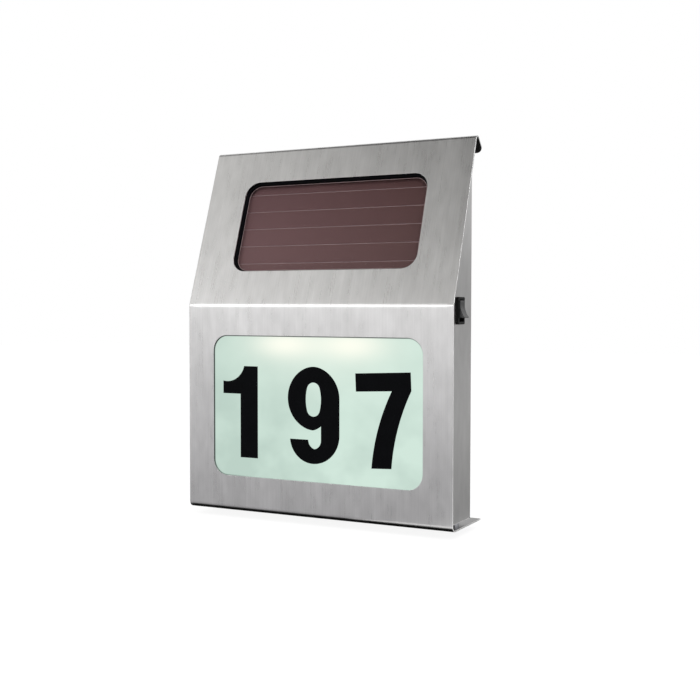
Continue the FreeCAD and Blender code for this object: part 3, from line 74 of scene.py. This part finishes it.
class Tree:
    """The nodes of a material or world. node adds any node; the other calls add the ones that are
    used most, and return their outputs."""

    def __init__(self, owner, output="OutputMaterial"):
        owner.use_nodes = True
        self.owner = owner
        self.nodes, self.links = owner.node_tree.nodes, owner.node_tree.links
        self.nodes.clear()
        self.output = self.node(output)

    def node(self, kind, inputs=None, **settings):
        """Adds a node. An input given as a socket is linked, and any other is set."""
        made = self.nodes.new("ShaderNode" + kind)
        for key, setting in settings.items():
            setattr(made, key, setting)
        for key, given in (inputs or {}).items():
            if isinstance(given, bpy.types.NodeSocket):
                self.links.new(given, made.inputs[key])
            else:
                made.inputs[key].default_value = given
        return made

    def math(self, operation, *values, clamp=False):
        inputs = dict(enumerate(values))
        return self.node("Math", inputs, operation=operation, use_clamp=clamp).outputs[0]

    def squares(self, first, second):
        """The sum of the two values' squares."""
        return self.math("ADD", self.math("MULTIPLY", first, first),
                         self.math("MULTIPLY", second, second))

    def place(self):
        """The point on the surface in the frame's metres."""
        return self.node("TexCoord").outputs["Object"]

    def split(self, vector):
        return self.node("SeparateXYZ", {0: vector}).outputs

    def join(self, x, y, z):
        return self.node("CombineXYZ", {0: x, 1: y, 2: z}).outputs[0]

    def noise(self, vector, scale=1.0, detail=2.0):
        inputs = {"Vector": vector, "Scale": scale, "Detail": detail}
        return self.node("TexNoise", inputs).outputs["Fac"]

    def streaks(self, over, up, cells, cut=0.0, detail=2.0):
        """A noise with so many cells a metre over and up; cut is where it is cut through."""
        over = self.math("MULTIPLY", over, cells[0])
        up = self.math("MULTIPLY", up, cells[1])
        return self.noise(self.join(over, cut, up), detail=detail)

    def ramp(self, value, low, high, start=0.0, end=1.0):
        """value from start..end mapped to low..high, held at both ends."""
        inputs = {"Value": value, "From Min": start, "From Max": end, "To Min": low, "To Max": high}
        return self.node("MapRange", inputs, clamp=True).outputs[0]

    def vary(self, middle, less, more, noise):
        """The middle value, which the noise makes lower by up to less or higher by up to more."""
        return self.ramp(noise, middle - less, middle + more, *NOISE_BAND)

    def mix(self, factor, first, second):
        inputs = {"Factor": factor, MIX_FIRST: first, MIX_SECOND: second}
        return self.node("Mix", inputs, data_type="RGBA").outputs[MIX_RESULT]

    def dot(self, first, second):
        inputs = {0: first, 1: second}
        return self.node("VectorMath", inputs, operation="DOT_PRODUCT").outputs["Value"]

    def rounded(self, radius):
        """A surface normal that rounds sharp edges by the radius."""
        return self.node("Bevel", {"Radius": radius}, samples=BEVEL_SAMPLES).outputs[0]

    def bump(self, height, strength, distance, edge=0.0):
        """A surface normal with the height's relief; edge also rounds sharp edges that wide."""
        inputs = {"Strength": strength, "Distance": distance, "Height": height}
        if edge:
            inputs["Normal"] = self.rounded(edge)
        return self.node("Bump", inputs).outputs[0]

    def emission(self, color, strength):
        return self.node("Emission", {"Color": color, "Strength": strength}).outputs[0]

    def finish(self, shader):
        """Links the shader to the output, and returns the material or world."""
        self.links.new(shader, self.output.inputs[0])
        return self.owner

    def surface(self, **inputs):
        """A material of the main shader; an input's name has _ for each space."""
        inputs = {name.replace("_", " "): given for name, given in inputs.items()}
        return self.finish(self.node("BsdfPrincipled", inputs).outputs[0])


def new_tree(name):
    return Tree(bpy.data.materials.new(name))


def rgb(red, green, blue):
    """A colour as it should look on screen, 0 to 255, as the linear colour that gives it."""
    def linear(part):
        part /= 255
        return part / 12.92 if part <= 0.04045 else ((part + 0.055) / 1.055) ** 2.4
    return (linear(red), linear(green), linear(blue), 1.0)


def shades(tone, *parts):
    """The tone times each of the parts, as colours."""
    return [tuple(min(level * part, 1) for level in tone[:3]) + (1,) for part in parts]


# --- steel and other metals --------------------------------------------------------------------
STREAK_CELLS = ((1500, 9), (170, 60), (38, 20))     # of the grain, the mottling and the clouds
STREAK_SPREADS = (0.035, 0.05, 0.045)       # how far each changes the steel's brightness
GRAIN_ROUGH, MOTTLE_ROUGH = (0.02, 0.02), (0.01, 0.02)  # and its roughness, less and more
STREAK_CUT = 1.7
SIDE_ZONE = (0.100, 0.104)                  # to each side, where the side edges' look begins
SLANT_ZONE = (BEND - 0.005, BEND + 0.010)   # going up, where their look changes at the bend
SHEET_RADIUS = 0.0002                       # edges are rounded so far, such as the windows',
LOWER_RADIUS, UPPER_RADIUS = 0.0009, 0.0003     # and the side edges below and above the bend
BEND_RADIUS = 0.0032                        # the bend is rounded so far,
BEND_ZONE, BEND_END = (0.003, 0.006), (0.104, 0.108)    # less and less from it and to the sides
EDGE_BAND = (0.85, 0.99)                    # cosine of the rounding's turn, on an edge and off it
LOWER_GLINT = 1.64                          # painted highlight: brightness of the side edges below the bend
DOWN_SHADE, DOWN_BAND = 0.05, (-0.55, -0.2)     # painted shade: brightness of faces that look down, by z of their normals, and of those that look straight up
UP_SHADE, UP_BAND = 0.25, (0.9, 0.99)       # their normals, and of those that look straight up

SPECK_CELLS, SPECK_DETAIL = 900, 4          # the specks in the finish of small metal pieces
SPECK_RELIEF = (0.05, 0.0001)               # strength and depth
METAL_SHADES, METAL_SPREAD = (0.86, 1.08), 0.08     # how far the tone and the roughness vary
ZINC_DULL, ZINC_BRIGHT, ZINC_ROUGH = (0.54, 0.55, 0.57, 1), (0.67, 0.68, 0.71, 1), 0.28
# painted shade of the cross recesses, and their roughness
RECESS_PAINTED_SHADE, RECESS_ROUGH = (0.02, 0.02, 0.02, 1), 0.6
RECESS_HALF = (0.00030, 0.00042)            # half the width of a recess's arms, soft in between
RECESS_REACH = (0.00155, 0.00170)           # how far they reach from the middle, likewise


def brushed_steel(name, tone, across, rough, folded=False):
    """Stainless sheet: fine vertical brushing, soft mottling, painted highlights on the side edges.
    across: how x and y make up the direction square to the grain. folded: the bend is softened,
    and painted shade turns faces that look down nearly black, those looking straight up dark."""
    tree = new_tree(name)
    x, y, z = tree.split(tree.place())
    side = tree.math("ADD", tree.math("MULTIPLY", x, across[0]),
                     tree.math("MULTIPLY", y, across[1]))
    patterns = [tree.streaks(side, z, cells, STREAK_CUT) for cells in STREAK_CELLS]
    grain, mottle, _ = patterns

    over = tree.math("ABSOLUTE", x)
    side_radius = tree.ramp(z, LOWER_RADIUS, UPPER_RADIUS, *SLANT_ZONE)
    radius = tree.ramp(over, SHEET_RADIUS, side_radius, *SIDE_ZONE)
    if folded:
        from_bend = tree.math("ABSOLUTE", tree.math("SUBTRACT", z, BEND))
        soft = tree.math("MULTIPLY", tree.ramp(from_bend, BEND_RADIUS, 0.0, *BEND_ZONE),
                         tree.ramp(over, 1.0, 0.0, *BEND_END))
        radius = tree.math("MAXIMUM", radius, soft)
    rounded = tree.rounded(radius)
    flat = tree.node("NewGeometry").outputs["True Normal"]
    # painted highlight: the side edges' colour is brightened where the rounding turns, more below
    # the bend
    side_glint = tree.ramp(z, LOWER_GLINT, 1.0, *SLANT_ZONE)
    glint = tree.ramp(over, 1.0, side_glint, *SIDE_ZONE)
    shade = tree.ramp(tree.dot(rounded, flat), glint, 1.0, *EDGE_BAND)
    for pattern, spread in zip(patterns, STREAK_SPREADS):
        shade = tree.math("MULTIPLY", shade, tree.vary(1, spread, spread, pattern))
    # painted shade: faces that look down turn nearly black, those that look straight up dark
    if folded:
        up = tree.split(flat)[2]
        shade = tree.math("MULTIPLY", shade, tree.ramp(up, DOWN_SHADE, 1.0, *DOWN_BAND))
        shade = tree.math("MULTIPLY", shade, tree.ramp(up, 1.0, UP_SHADE, *UP_BAND))

    color = tree.node("VectorMath", {0: tone, "Scale": shade}, operation="SCALE").outputs[0]
    roughness = tree.math("ADD", tree.vary(rough, *MOTTLE_ROUGH, mottle),
                          tree.vary(0, *GRAIN_ROUGH, grain))
    return tree.surface(Base_Color=color, Metallic=1.0, Roughness=roughness, Normal=rounded)


def metal(name, tone, rough, scale=SPECK_CELLS):
    """Plated or plain metal with a slight unevenness of finish."""
    tree = new_tree(name)
    speck = tree.noise(tree.place(), scale, SPECK_DETAIL)
    return tree.surface(Base_Color=tree.mix(speck, *shades(tone, *METAL_SHADES)), Metallic=1.0,
                        Roughness=tree.ramp(speck, rough - METAL_SPREAD, rough + METAL_SPREAD),
                        Normal=tree.bump(speck, *SPECK_RELIEF))


def cross_screw(name, place, axis, row):
    """A pair of zinc screws, with the shade of a cross recess painted dark on each head. axis is
    the one beside x along the head's face, and row the heads' place along it."""
    tree = new_tree(name)
    places = dict(zip("xyz", tree.split(tree.place())))
    over = tree.math("ABSOLUTE", tree.math("SUBTRACT", tree.math("ABSOLUTE", places["x"]), place))
    along = tree.math("ABSOLUTE", tree.math("SUBTRACT", places[axis], row))
    arms = [tree.math("MULTIPLY", tree.ramp(aside, 1.0, 0.0, *RECESS_HALF),
                      tree.ramp(outward, 1.0, 0.0, *RECESS_REACH))
            for aside, outward in ((over, along), (along, over))]
    # painted shade: the head turns dark where its cross recess would be
    recess = tree.math("MAXIMUM", *arms)
    speck = tree.noise(tree.place(), SPECK_CELLS, SPECK_DETAIL)
    color = tree.mix(recess, tree.mix(speck, ZINC_DULL, ZINC_BRIGHT), RECESS_PAINTED_SHADE)
    return tree.surface(Base_Color=color, Metallic=1.0,
                        Roughness=tree.ramp(recess, ZINC_ROUGH, RECESS_ROUGH),
                        Normal=tree.bump(speck, *SPECK_RELIEF))


# --- plastic, rubber and film ------------------------------------------------------------------
GRAIN_CELLS, GRAIN_DETAIL = 1800, 3         # the spark-eroded grain of a mould
GRAIN_DEPTH = 0.00012
PATCH_SHARE, PATCH_BAND = 1 / 25, (0.35, 0.65)  # the wide patches' cells, as part of the grain's
PLASTIC_SHADES, PLASTIC_ROUGH = (0.88, 1.1), (0.06, 0.08)   # the tone, and rough less and more


def plastic(name, tone, rough, scale=GRAIN_CELLS, bump=0.15, gloss=0.5, edge=0.0):
    """Moulded plastic or rubber with a fine spark-eroded grain; edge rounds its sharp edges."""
    tree = new_tree(name)
    grain = tree.noise(tree.place(), scale, GRAIN_DETAIL)
    patch = tree.ramp(tree.noise(tree.place(), scale * PATCH_SHARE), 0, 1, *PATCH_BAND)
    return tree.surface(Base_Color=tree.mix(patch, *shades(tone, *PLASTIC_SHADES)),
                        Roughness=tree.vary(rough, *PLASTIC_ROUGH, grain),
                        Specular_IOR_Level=gloss,
                        Normal=tree.bump(grain, bump, GRAIN_DEPTH, edge))


# --- the lit pane ------------------------------------------------------------------------------
GLOW_PLACES, GLOW_HEIGHT = (-0.0240, 0.0300), BASE + 0.1280     # the two hot spots along x, and up
GLOW_REACH = (0.0250, 0.0100)
HAZE_PLACE, HAZE_REACH = (0.003, GLOW_HEIGHT + 0.002), (0.060, 0.030)
HAZE_SHARE = 0.6
PANE_CELLS, PANE_DETAIL = (24, 30), 3       # of the clouds in the pane
# How dim the painted glow is: two levels, and the cloud's noise, z and x at which they are reached.
CLOUD_DIM = (-0.1, 0.7, 0.38, 0.62)
LOW_DIM = (1.0, 0.35, BASE + 0.030, BASE + 0.115)
LEFT_DIM = (0.6, 0.0, -0.085, 0.030)
PANE_BRIGHT, PANE_DIM = rgb(206, 228, 216), rgb(184, 206, 195)
PANE_HAZE, PANE_HOT, PANE_SHADE = rgb(230, 242, 230), rgb(250, 252, 238), rgb(62, 72, 68)
SHADE_WIDTH, SHADE_DARK = 0.0009, 0.0004    # the shade begins and is full so far off the edge
SHADE_LEAN, SHADE_ZONE = 0.6, (-0.02, 0.01)     # it lies toward the top left of a leaning line


def glow(tree, x, z, centre, reach):
    """A soft oval patch of light: 1 at its centre, falling away over its reach."""
    over = tree.math("DIVIDE", tree.math("SUBTRACT", x, centre[0]), reach[0])
    up = tree.math("DIVIDE", tree.math("SUBTRACT", z, centre[1]), reach[1])
    return tree.math("POWER", math.e, tree.math("MULTIPLY", tree.squares(over, up), -1.0))


def pane_edge(tree, x, z):
    """1 in the narrow shade under the number window's top and left edges, 0 elsewhere."""
    def past(value, limit):
        beyond = tree.math("SUBTRACT", tree.math("ABSOLUTE", value), limit)
        return tree.math("MAXIMUM", beyond, 0.0)

    height = tree.math("SUBTRACT", z, (NUMBER_LOW + NUMBER_HIGH) / 2)
    over = past(x, NUMBER_HALF - WINDOW_CORNER)
    up = past(height, (NUMBER_HIGH - NUMBER_LOW) / 2 - WINDOW_CORNER)
    reach = tree.math("SQRT", tree.squares(over, up))
    edge = tree.ramp(reach, 0.0, 1.0, WINDOW_CORNER - SHADE_WIDTH, WINDOW_CORNER - SHADE_DARK)
    top_left = tree.math("SUBTRACT", height, tree.math("MULTIPLY", x, SHADE_LEAN))
    return tree.math("MULTIPLY", edge, tree.ramp(top_left, 0.0, 1.0, *SHADE_ZONE))


def lit_pane():
    """Frosted pane, its light from behind painted in as a glow: cloudy green white, two warm hot
    spots near its top.
    """
    tree = new_tree("lit_pane")
    x, _, z = tree.split(tree.place())
    cloud = tree.streaks(x, z, PANE_CELLS, detail=PANE_DETAIL)
    clouded = tree.math("MULTIPLY", tree.ramp(cloud, *CLOUD_DIM), tree.ramp(z, *LOW_DIM))
    dim = tree.math("ADD", clouded, tree.ramp(x, *LEFT_DIM), clamp=True)
    color = tree.mix(dim, PANE_BRIGHT, PANE_DIM)
    haze = glow(tree, x, z, HAZE_PLACE, HAZE_REACH)
    color = tree.mix(tree.math("MULTIPLY", haze, HAZE_SHARE), color, PANE_HAZE)
    spots = [glow(tree, x, z, (place, GLOW_HEIGHT), GLOW_REACH) for place in GLOW_PLACES]
    color = tree.mix(tree.math("ADD", *spots, clamp=True), color, PANE_HOT)
    color = tree.mix(pane_edge(tree, x, z), color, PANE_SHADE)
    # painted light: the pane glows by its emission
    return tree.surface(Base_Color=(0.02, 0.02, 0.02, 1), Roughness=0.5, Specular_IOR_Level=0.1,
                        Emission_Color=color, Emission_Strength=1.0)


# --- the solar panel and the boards ------------------------------------------------------------
CELLS_SPAN = (-0.08, 0.08)                  # the cells' colours run from left to right over this,
CELLS_RISE = (BEND + 0.025, BEND + 0.095)   # and from their lower to their upper ones over this
CELLS_LOWER = rgb(106, 81, 82), rgb(82, 61, 60)
CELLS_UPPER = rgb(89, 65, 67), rgb(68, 46, 45)
BOARD_CELLS, TRACK_WIDTH = 190, 0.03
LACQUER, LACQUER_PALE = (0.015, 0.16, 0.06, 1), (0.02, 0.19, 0.07, 1)
TRACK = (0.05, 0.30, 0.12, 1)


def solar_cell():
    """Dark maroon amorphous cell, paler toward its lower left."""
    tree = new_tree("solar_cell")
    x, _, z = tree.split(tree.place())
    right, up = tree.ramp(x, 0, 1, *CELLS_SPAN), tree.ramp(z, 0, 1, *CELLS_RISE)
    color = tree.mix(up, tree.mix(right, *CELLS_LOWER), tree.mix(right, *CELLS_UPPER))
    return tree.surface(Base_Color=color, Roughness=0.5, Specular_IOR_Level=0.1)


def panel_glass():
    """Flat glass with an antireflective finish."""
    tree = new_tree("panel_glass")
    return tree.surface(Base_Color=(0.97, 0.96, 0.96, 1), Roughness=0.0, Transmission_Weight=1.0,
                        IOR=1.03)


def circuit_board():
    """Green lacquer over faint copper tracks."""
    tree = new_tree("circuit_board")
    grid = tree.node("TexBrick", {"Vector": tree.place(), "Scale": BOARD_CELLS,
                                  "Mortar Size": TRACK_WIDTH, "Mortar": TRACK,
                                  "Color1": LACQUER, "Color2": LACQUER_PALE}).outputs[0]
    return tree.surface(Base_Color=grid, Roughness=0.3, Coat_Weight=0.4)


# --- the finish of each node -------------------------------------------------------------------
# black film of the digits, also used for the painted shade ring on the solar glass
BLACK_FILM_AND_SHADE = plastic("black_film", (0.0022, 0.0024, 0.0030), 0.6, bump=0.03, gloss=0.03)

FINISHES = (
    (brushed_steel("brushed_front", (0.60, 0.595, 0.592), across=(1.0, 0.0), rough=0.29,
                   folded=True), "front_cover"),
    (brushed_steel("brushed_box", (0.56, 0.555, 0.55), across=(1.0, 1.0), rough=0.31), "housing"),
    (metal("zinc_plate", (0.55, 0.56, 0.58), 0.36, scale=260), "wall_bracket"),
    (metal("zinc_screw", (0.62, 0.63, 0.66), 0.28), "lamp_board_screws", "front_studs",
     "front_nuts", "solar_studs", "solar_nuts", "base_spacers", "base_nuts", "locking_nuts",
     "board_screws", "switch_pin"),
    (cross_screw("base_screw", BASE_SCREW_PLACE, "y", BASE_SCREW_ROW), "base_screws"),
    (cross_screw("locking_screw", LOCK_SCREW_PLACE, "y", LOCK_SCREW_ROW), "locking_screws"),
    (cross_screw("door_screw", DOOR_SCREW_PLACE, "z", DOOR_SCREW_ROW), "door_screws"),
    (metal("nickel", (0.75, 0.74, 0.70), 0.22), "battery_contacts", "battery_springs"),
    (metal("brass", (0.78, 0.58, 0.28), 0.25), "board_standoffs", "switch_terminals"),
    (lit_pane(), "number_pane"),
    (BLACK_FILM_AND_SHADE, "digit_one", "digit_nine", "digit_seven"),
    (panel_glass(), "solar_glass"),
    (solar_cell(), "solar_cells"),
    (plastic("cell_backing", rgb(148, 126, 128), 0.5), "solar_backing"),
    (plastic("black_rubber", (0.005, 0.005, 0.006), 0.6, scale=900, gloss=0.06),
     "pane_gasket", "solar_gasket", "door_seal"),
    (plastic("panel_frame", (0.004, 0.004, 0.005), 0.5, gloss=0.06), "solar_frame"),
    (plastic("dark_plastic", (0.028, 0.028, 0.031), 0.5), "solar_back_plate", "battery_box",
     "battery_door", "board_capacitor"),
    (plastic("white_plastic", (0.78, 0.79, 0.79), 0.45), "light_tray"),
    (plastic("switch_black", (0.010, 0.010, 0.011), 0.30, gloss=0.6, edge=0.0007), "switch_rocker"),
    (plastic("switch_grey", (0.004, 0.004, 0.004), 0.35, gloss=0.08, edge=0.0007), "switch_body"),
    (plastic("lamp_lens", (0.85, 0.88, 0.82), 0.15, bump=0.0), "white_lamps"),
    (plastic("cell_sleeve", (0.05, 0.26, 0.12), 0.3, bump=0.02), "battery_cells"),
    (circuit_board(), "lamp_board", "control_board"),
    (plastic("chip", (0.02, 0.02, 0.02), 0.4), "charge_chip"),
    (plastic("ferrite", (0.06, 0.055, 0.05), 0.6, scale=700), "board_coil"),
    (plastic("resistor", (0.60, 0.44, 0.26), 0.35), "board_resistors"),
    (plastic("wire_red", (0.5, 0.02, 0.02), 0.4, bump=0.05), "solar_leads"),
    (plastic("wire_white", (0.72, 0.72, 0.7), 0.4, bump=0.05), "lamp_leads"),
    (plastic("wire_blue", (0.03, 0.08, 0.42), 0.4, bump=0.05), "switch_leads"),
    (plastic("wire_black", (0.015, 0.015, 0.015), 0.4, bump=0.05), "battery_leads"),
)
for material, *names in FINISHES:
    for name in names:
        nodes[name].data.materials.clear()
        nodes[name].data.materials.append(material)

glass = nodes["solar_glass"]
glass.visible_shadow = glass.visible_diffuse = False    # so that light falls on the cells
shrink = glass.modifiers.new("gap", "DISPLACE")
shrink.strength, shrink.mid_level = -GLASS_GAP, 0.0


# --- the solar window's recess: painted shade as a black ring, and a painted highlight line ----
def slant_point(over, up, depth):
    """A point on the slanted face's frame: over to the right, up it from the bend, into it."""
    return Vector((over, FRONT + up * math.sin(TILT) + depth * math.cos(TILT),
                   BEND + up * math.cos(TILT) - depth * math.sin(TILT)))


def window_loop(inset):
    """Points round the solar window's rounded edge, moved inward by the inset, on the glass."""
    right, radius = SOLAR_HALF - WINDOW_CORNER, WINDOW_CORNER - inset
    low, high = SOLAR_LOW + WINDOW_CORNER, SOLAR_HIGH - WINDOW_CORNER
    points = []
    for turn, (x, z) in enumerate(((right, high), (-right, high), (-right, low), (right, low))):
        for step in range(CORNER_STEPS + 1):
            angle = math.radians(90 * (turn + step / CORNER_STEPS))
            points.append(slant_point(x + radius * math.cos(angle), z + radius * math.sin(angle),
                                      GLASS_DEPTH))
    return points


def new_object(name, points, faces, material):
    """A mesh of the faces between the points, in the material."""
    mesh = bpy.data.meshes.new(name)
    mesh.from_pydata(points, [], faces)
    mesh.materials.append(material)
    made = bpy.data.objects.new(name, mesh)
    bpy.context.scene.collection.objects.link(made)
    return made


def make_ring(name, outer, inner, material):
    """A flat ring on the glass between two insets from the window's edge."""
    points = window_loop(outer) + window_loop(inner)
    count = len(points) // 2
    faces = [(point, (point + 1) % count, (point + 1) % count + count, point + count)
             for point in range(count)]
    ring = new_object(name, points, faces, material)
    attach(ring, "sign")


# painted shade: a black ring for the shade and black wall of a recess deeper than the model's, then
# a pale ring as a painted highlight on the frame's edge
make_ring("painted_shade_ring", LIP, SHADE_RING_EDGE - LINE_HALF, BLACK_FILM_AND_SHADE)
make_ring("painted_highlight_line", SHADE_RING_EDGE - LINE_HALF, SHADE_RING_EDGE + LINE_HALF,
          plastic("painted_highlight_line", rgb(150, 128, 128), 0.35, bump=0.0))


# --- camera ------------------------------------------------------------------------------------
CAMERA_PLACE = Vector((0.38759, FRONT - 0.69018, BASE + 0.15509))
CAMERA_YAW, CAMERA_PITCH, CAMERA_ROLL = -0.47763, -0.03909, 0.00108
LENS_MM, SENSOR_MM = 55.80, 36.0
CLIP_NEAR, CLIP_FAR = 0.01, 50


def make_camera():
    """The camera, at the photograph's viewing angle."""
    data = bpy.data.cameras.new("camera")
    data.lens, data.sensor_width = LENS_MM, SENSOR_MM
    data.clip_start, data.clip_end = CLIP_NEAR, CLIP_FAR
    camera = bpy.data.objects.new("camera", data)
    bpy.context.scene.collection.objects.link(camera)
    ahead = Vector((math.sin(CAMERA_YAW) * math.cos(CAMERA_PITCH),
                    math.cos(CAMERA_YAW) * math.cos(CAMERA_PITCH), math.sin(CAMERA_PITCH)))
    right = Vector((math.cos(CAMERA_YAW), -math.sin(CAMERA_YAW), 0))
    up = right.cross(ahead)
    axes = Matrix((right, up, -ahead)).transposed()
    camera.matrix_world = (Matrix.Translation(CAMERA_PLACE)
                           @ (axes @ Matrix.Rotation(CAMERA_ROLL, 3, "Z")).to_4x4())
    bpy.context.scene.camera = camera


# --- floor, world, reflection cards and lamps --------------------------------------------------
SEEN_RAYS = ("Is Camera Ray", "Is Glossy Ray", "Is Transmission Ray")
FLOOR_DROP = 0.004                          # the floor lies clear of the lowest screw
FLOOR = min(BASE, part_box("base_screws")[0].z) - FLOOR_DROP
FLOOR_HALF = 3.0
FLOOR_GREY = (0.8, 0.8, 0.8, 1)
FLOOR_BRIGHT, FLOOR_SHARE = 1.16, 0.78      # the glow of what is seen of it, and its share there
SKY_LIGHT, SKY_SEEN = 0.65, 1.0
WHITE, WARM, COOL = (1, 1, 1, 1), (1, 0.995, 0.972, 1), (1, 0.993, 1.02, 1)
HIGH_CARD_ROLL = 32                         # degrees, so that it is darkest toward the right
LOW_CARD_TURN = -20


def seen(tree):
    """1 for rays that look at the background straight, in a mirror or through glass."""
    paths = tree.node("LightPath").outputs
    first, second, third = [paths[name] for name in SEEN_RAYS]
    return tree.math("MAXIMUM", tree.math("MAXIMUM", first, second), third)


def make_sheet(name, half, material):
    """A flat rectangle that is no part of the sign; half is half its width and its depth."""
    over, back = half
    corners = [(-over, -back, 0), (over, -back, 0), (over, back, 0), (-over, back, 0)]
    sheet = new_object(name, corners, [(0, 1, 2, 3)], material)
    return sheet


def make_floor():
    """White where it is seen, though it still takes the sign's shadow."""
    tree = new_tree("floor")
    matt = tree.node("BsdfDiffuse", {"Color": FLOOR_GREY}).outputs[0]
    share = tree.math("MULTIPLY", seen(tree), FLOOR_SHARE)
    mixed = tree.node("MixShader", {0: share, 1: matt, 2: tree.emission(WHITE, FLOOR_BRIGHT)})
    floor = make_sheet("floor", (FLOOR_HALF, FLOOR_HALF), tree.finish(mixed.outputs[0]))
    floor.location.z = FLOOR


def make_world():
    """White where it is seen, and a softer sky for the light that falls on the sign."""
    tree = Tree(bpy.data.worlds.new("studio"), "OutputWorld")
    level = tree.ramp(seen(tree), SKY_LIGHT, SKY_SEEN)
    sky = tree.node("Background", {"Color": WHITE, "Strength": level}).outputs[0]
    bpy.context.scene.world = tree.finish(sky)


def make_card(name, half, levels, span, color=WHITE):
    """A card that only mirrors see; along its own y, over the span, its glow goes from the first
    level to the second."""
    tree = new_tree(name)
    level = tree.ramp(tree.split(tree.place())[1], *levels, *span)
    card = make_sheet(name, half, tree.finish(tree.emission(color, level)))
    card.visible_camera = card.visible_diffuse = card.visible_shadow = False
    card.visible_transmission = False
    return card


def aim(thing, place, axis="-Z", roll=0):
    """Puts a lamp or card at the place, facing the sign, rolled by some degrees."""
    thing.location = place
    thing.rotation_mode = "QUATERNION"
    turn = Quaternion((0, 0, 1), math.radians(roll))
    thing.rotation_quaternion = (-Vector(place)).to_track_quat(axis, "Y") @ turn


def toward(bearing, height, distance):
    """A place seen from the sign: degrees left of straight ahead, degrees up, metres away."""
    bearing, height = math.radians(bearing), math.radians(height)
    return Vector((-math.sin(bearing) * math.cos(height), -math.cos(bearing) * math.cos(height),
                   math.sin(height))) * distance


def make_cards():
    """What the steel mirrors. Three of the cards lie just above the floor, none in another."""
    high = make_card("high_card", (2.0, 1.1), levels=(0.97, 0.05), span=(-0.95, 0.02), color=WARM)
    aim(high, toward(bearing=22, height=54, distance=2.0), "Z", HIGH_CARD_ROLL)
    low = make_card("low_card", (1.4, 1.0), levels=(0.95, 0.47), span=(-1.0, 0.9), color=COOL)
    low.location = (0.05, FRONT - 1.08, FLOOR + 0.001)
    low.rotation_euler.z = math.radians(LOW_CARD_TURN)
    beside = make_card("low_side_card", (0.6, 0.7), levels=(0.38, 0.70), span=(-0.6, 0.6))
    beside.location = (0.72, FRONT + 0.7, FLOOR + 0.002)
    side = make_card("side_card", (0.9, 0.6), levels=(0.42, 0.80), span=(-0.25, -0.05))
    aim(side, (0.75, 1.4, 0.3), "Z")
    # painted shade: a dark card that the bottom fold mirrors, standing for the shaded floor beneath
    # the sign
    under = make_card("under_card", (0.112, 0.03), levels=(0.05, 0.05), span=(0, 1))
    under.location = (0, FRONT + 0.026, FLOOR + 0.003)


def make_lamp(name, place, power, size):
    """A soft rectangular lamp that lights the sign from the place."""
    data = bpy.data.lights.new(name, "AREA")
    data.shape = "RECTANGLE"
    data.energy = power
    data.size, data.size_y = size
    lamp = bpy.data.objects.new(name, data)
    bpy.context.scene.collection.objects.link(lamp)
    lamp.visible_transmission = False
    aim(lamp, place)


make_camera()
make_world()
make_floor()
make_cards()
make_lamp("bend_strip", toward(bearing=33, height=15, distance=1.6), power=3.3, size=(1.2, 0.36))
make_lamp("key", toward(bearing=-36, height=44, distance=2.0), power=16, size=(0.8, 0.8))
bpy.context.scene.view_settings.view_transform = "Standard"
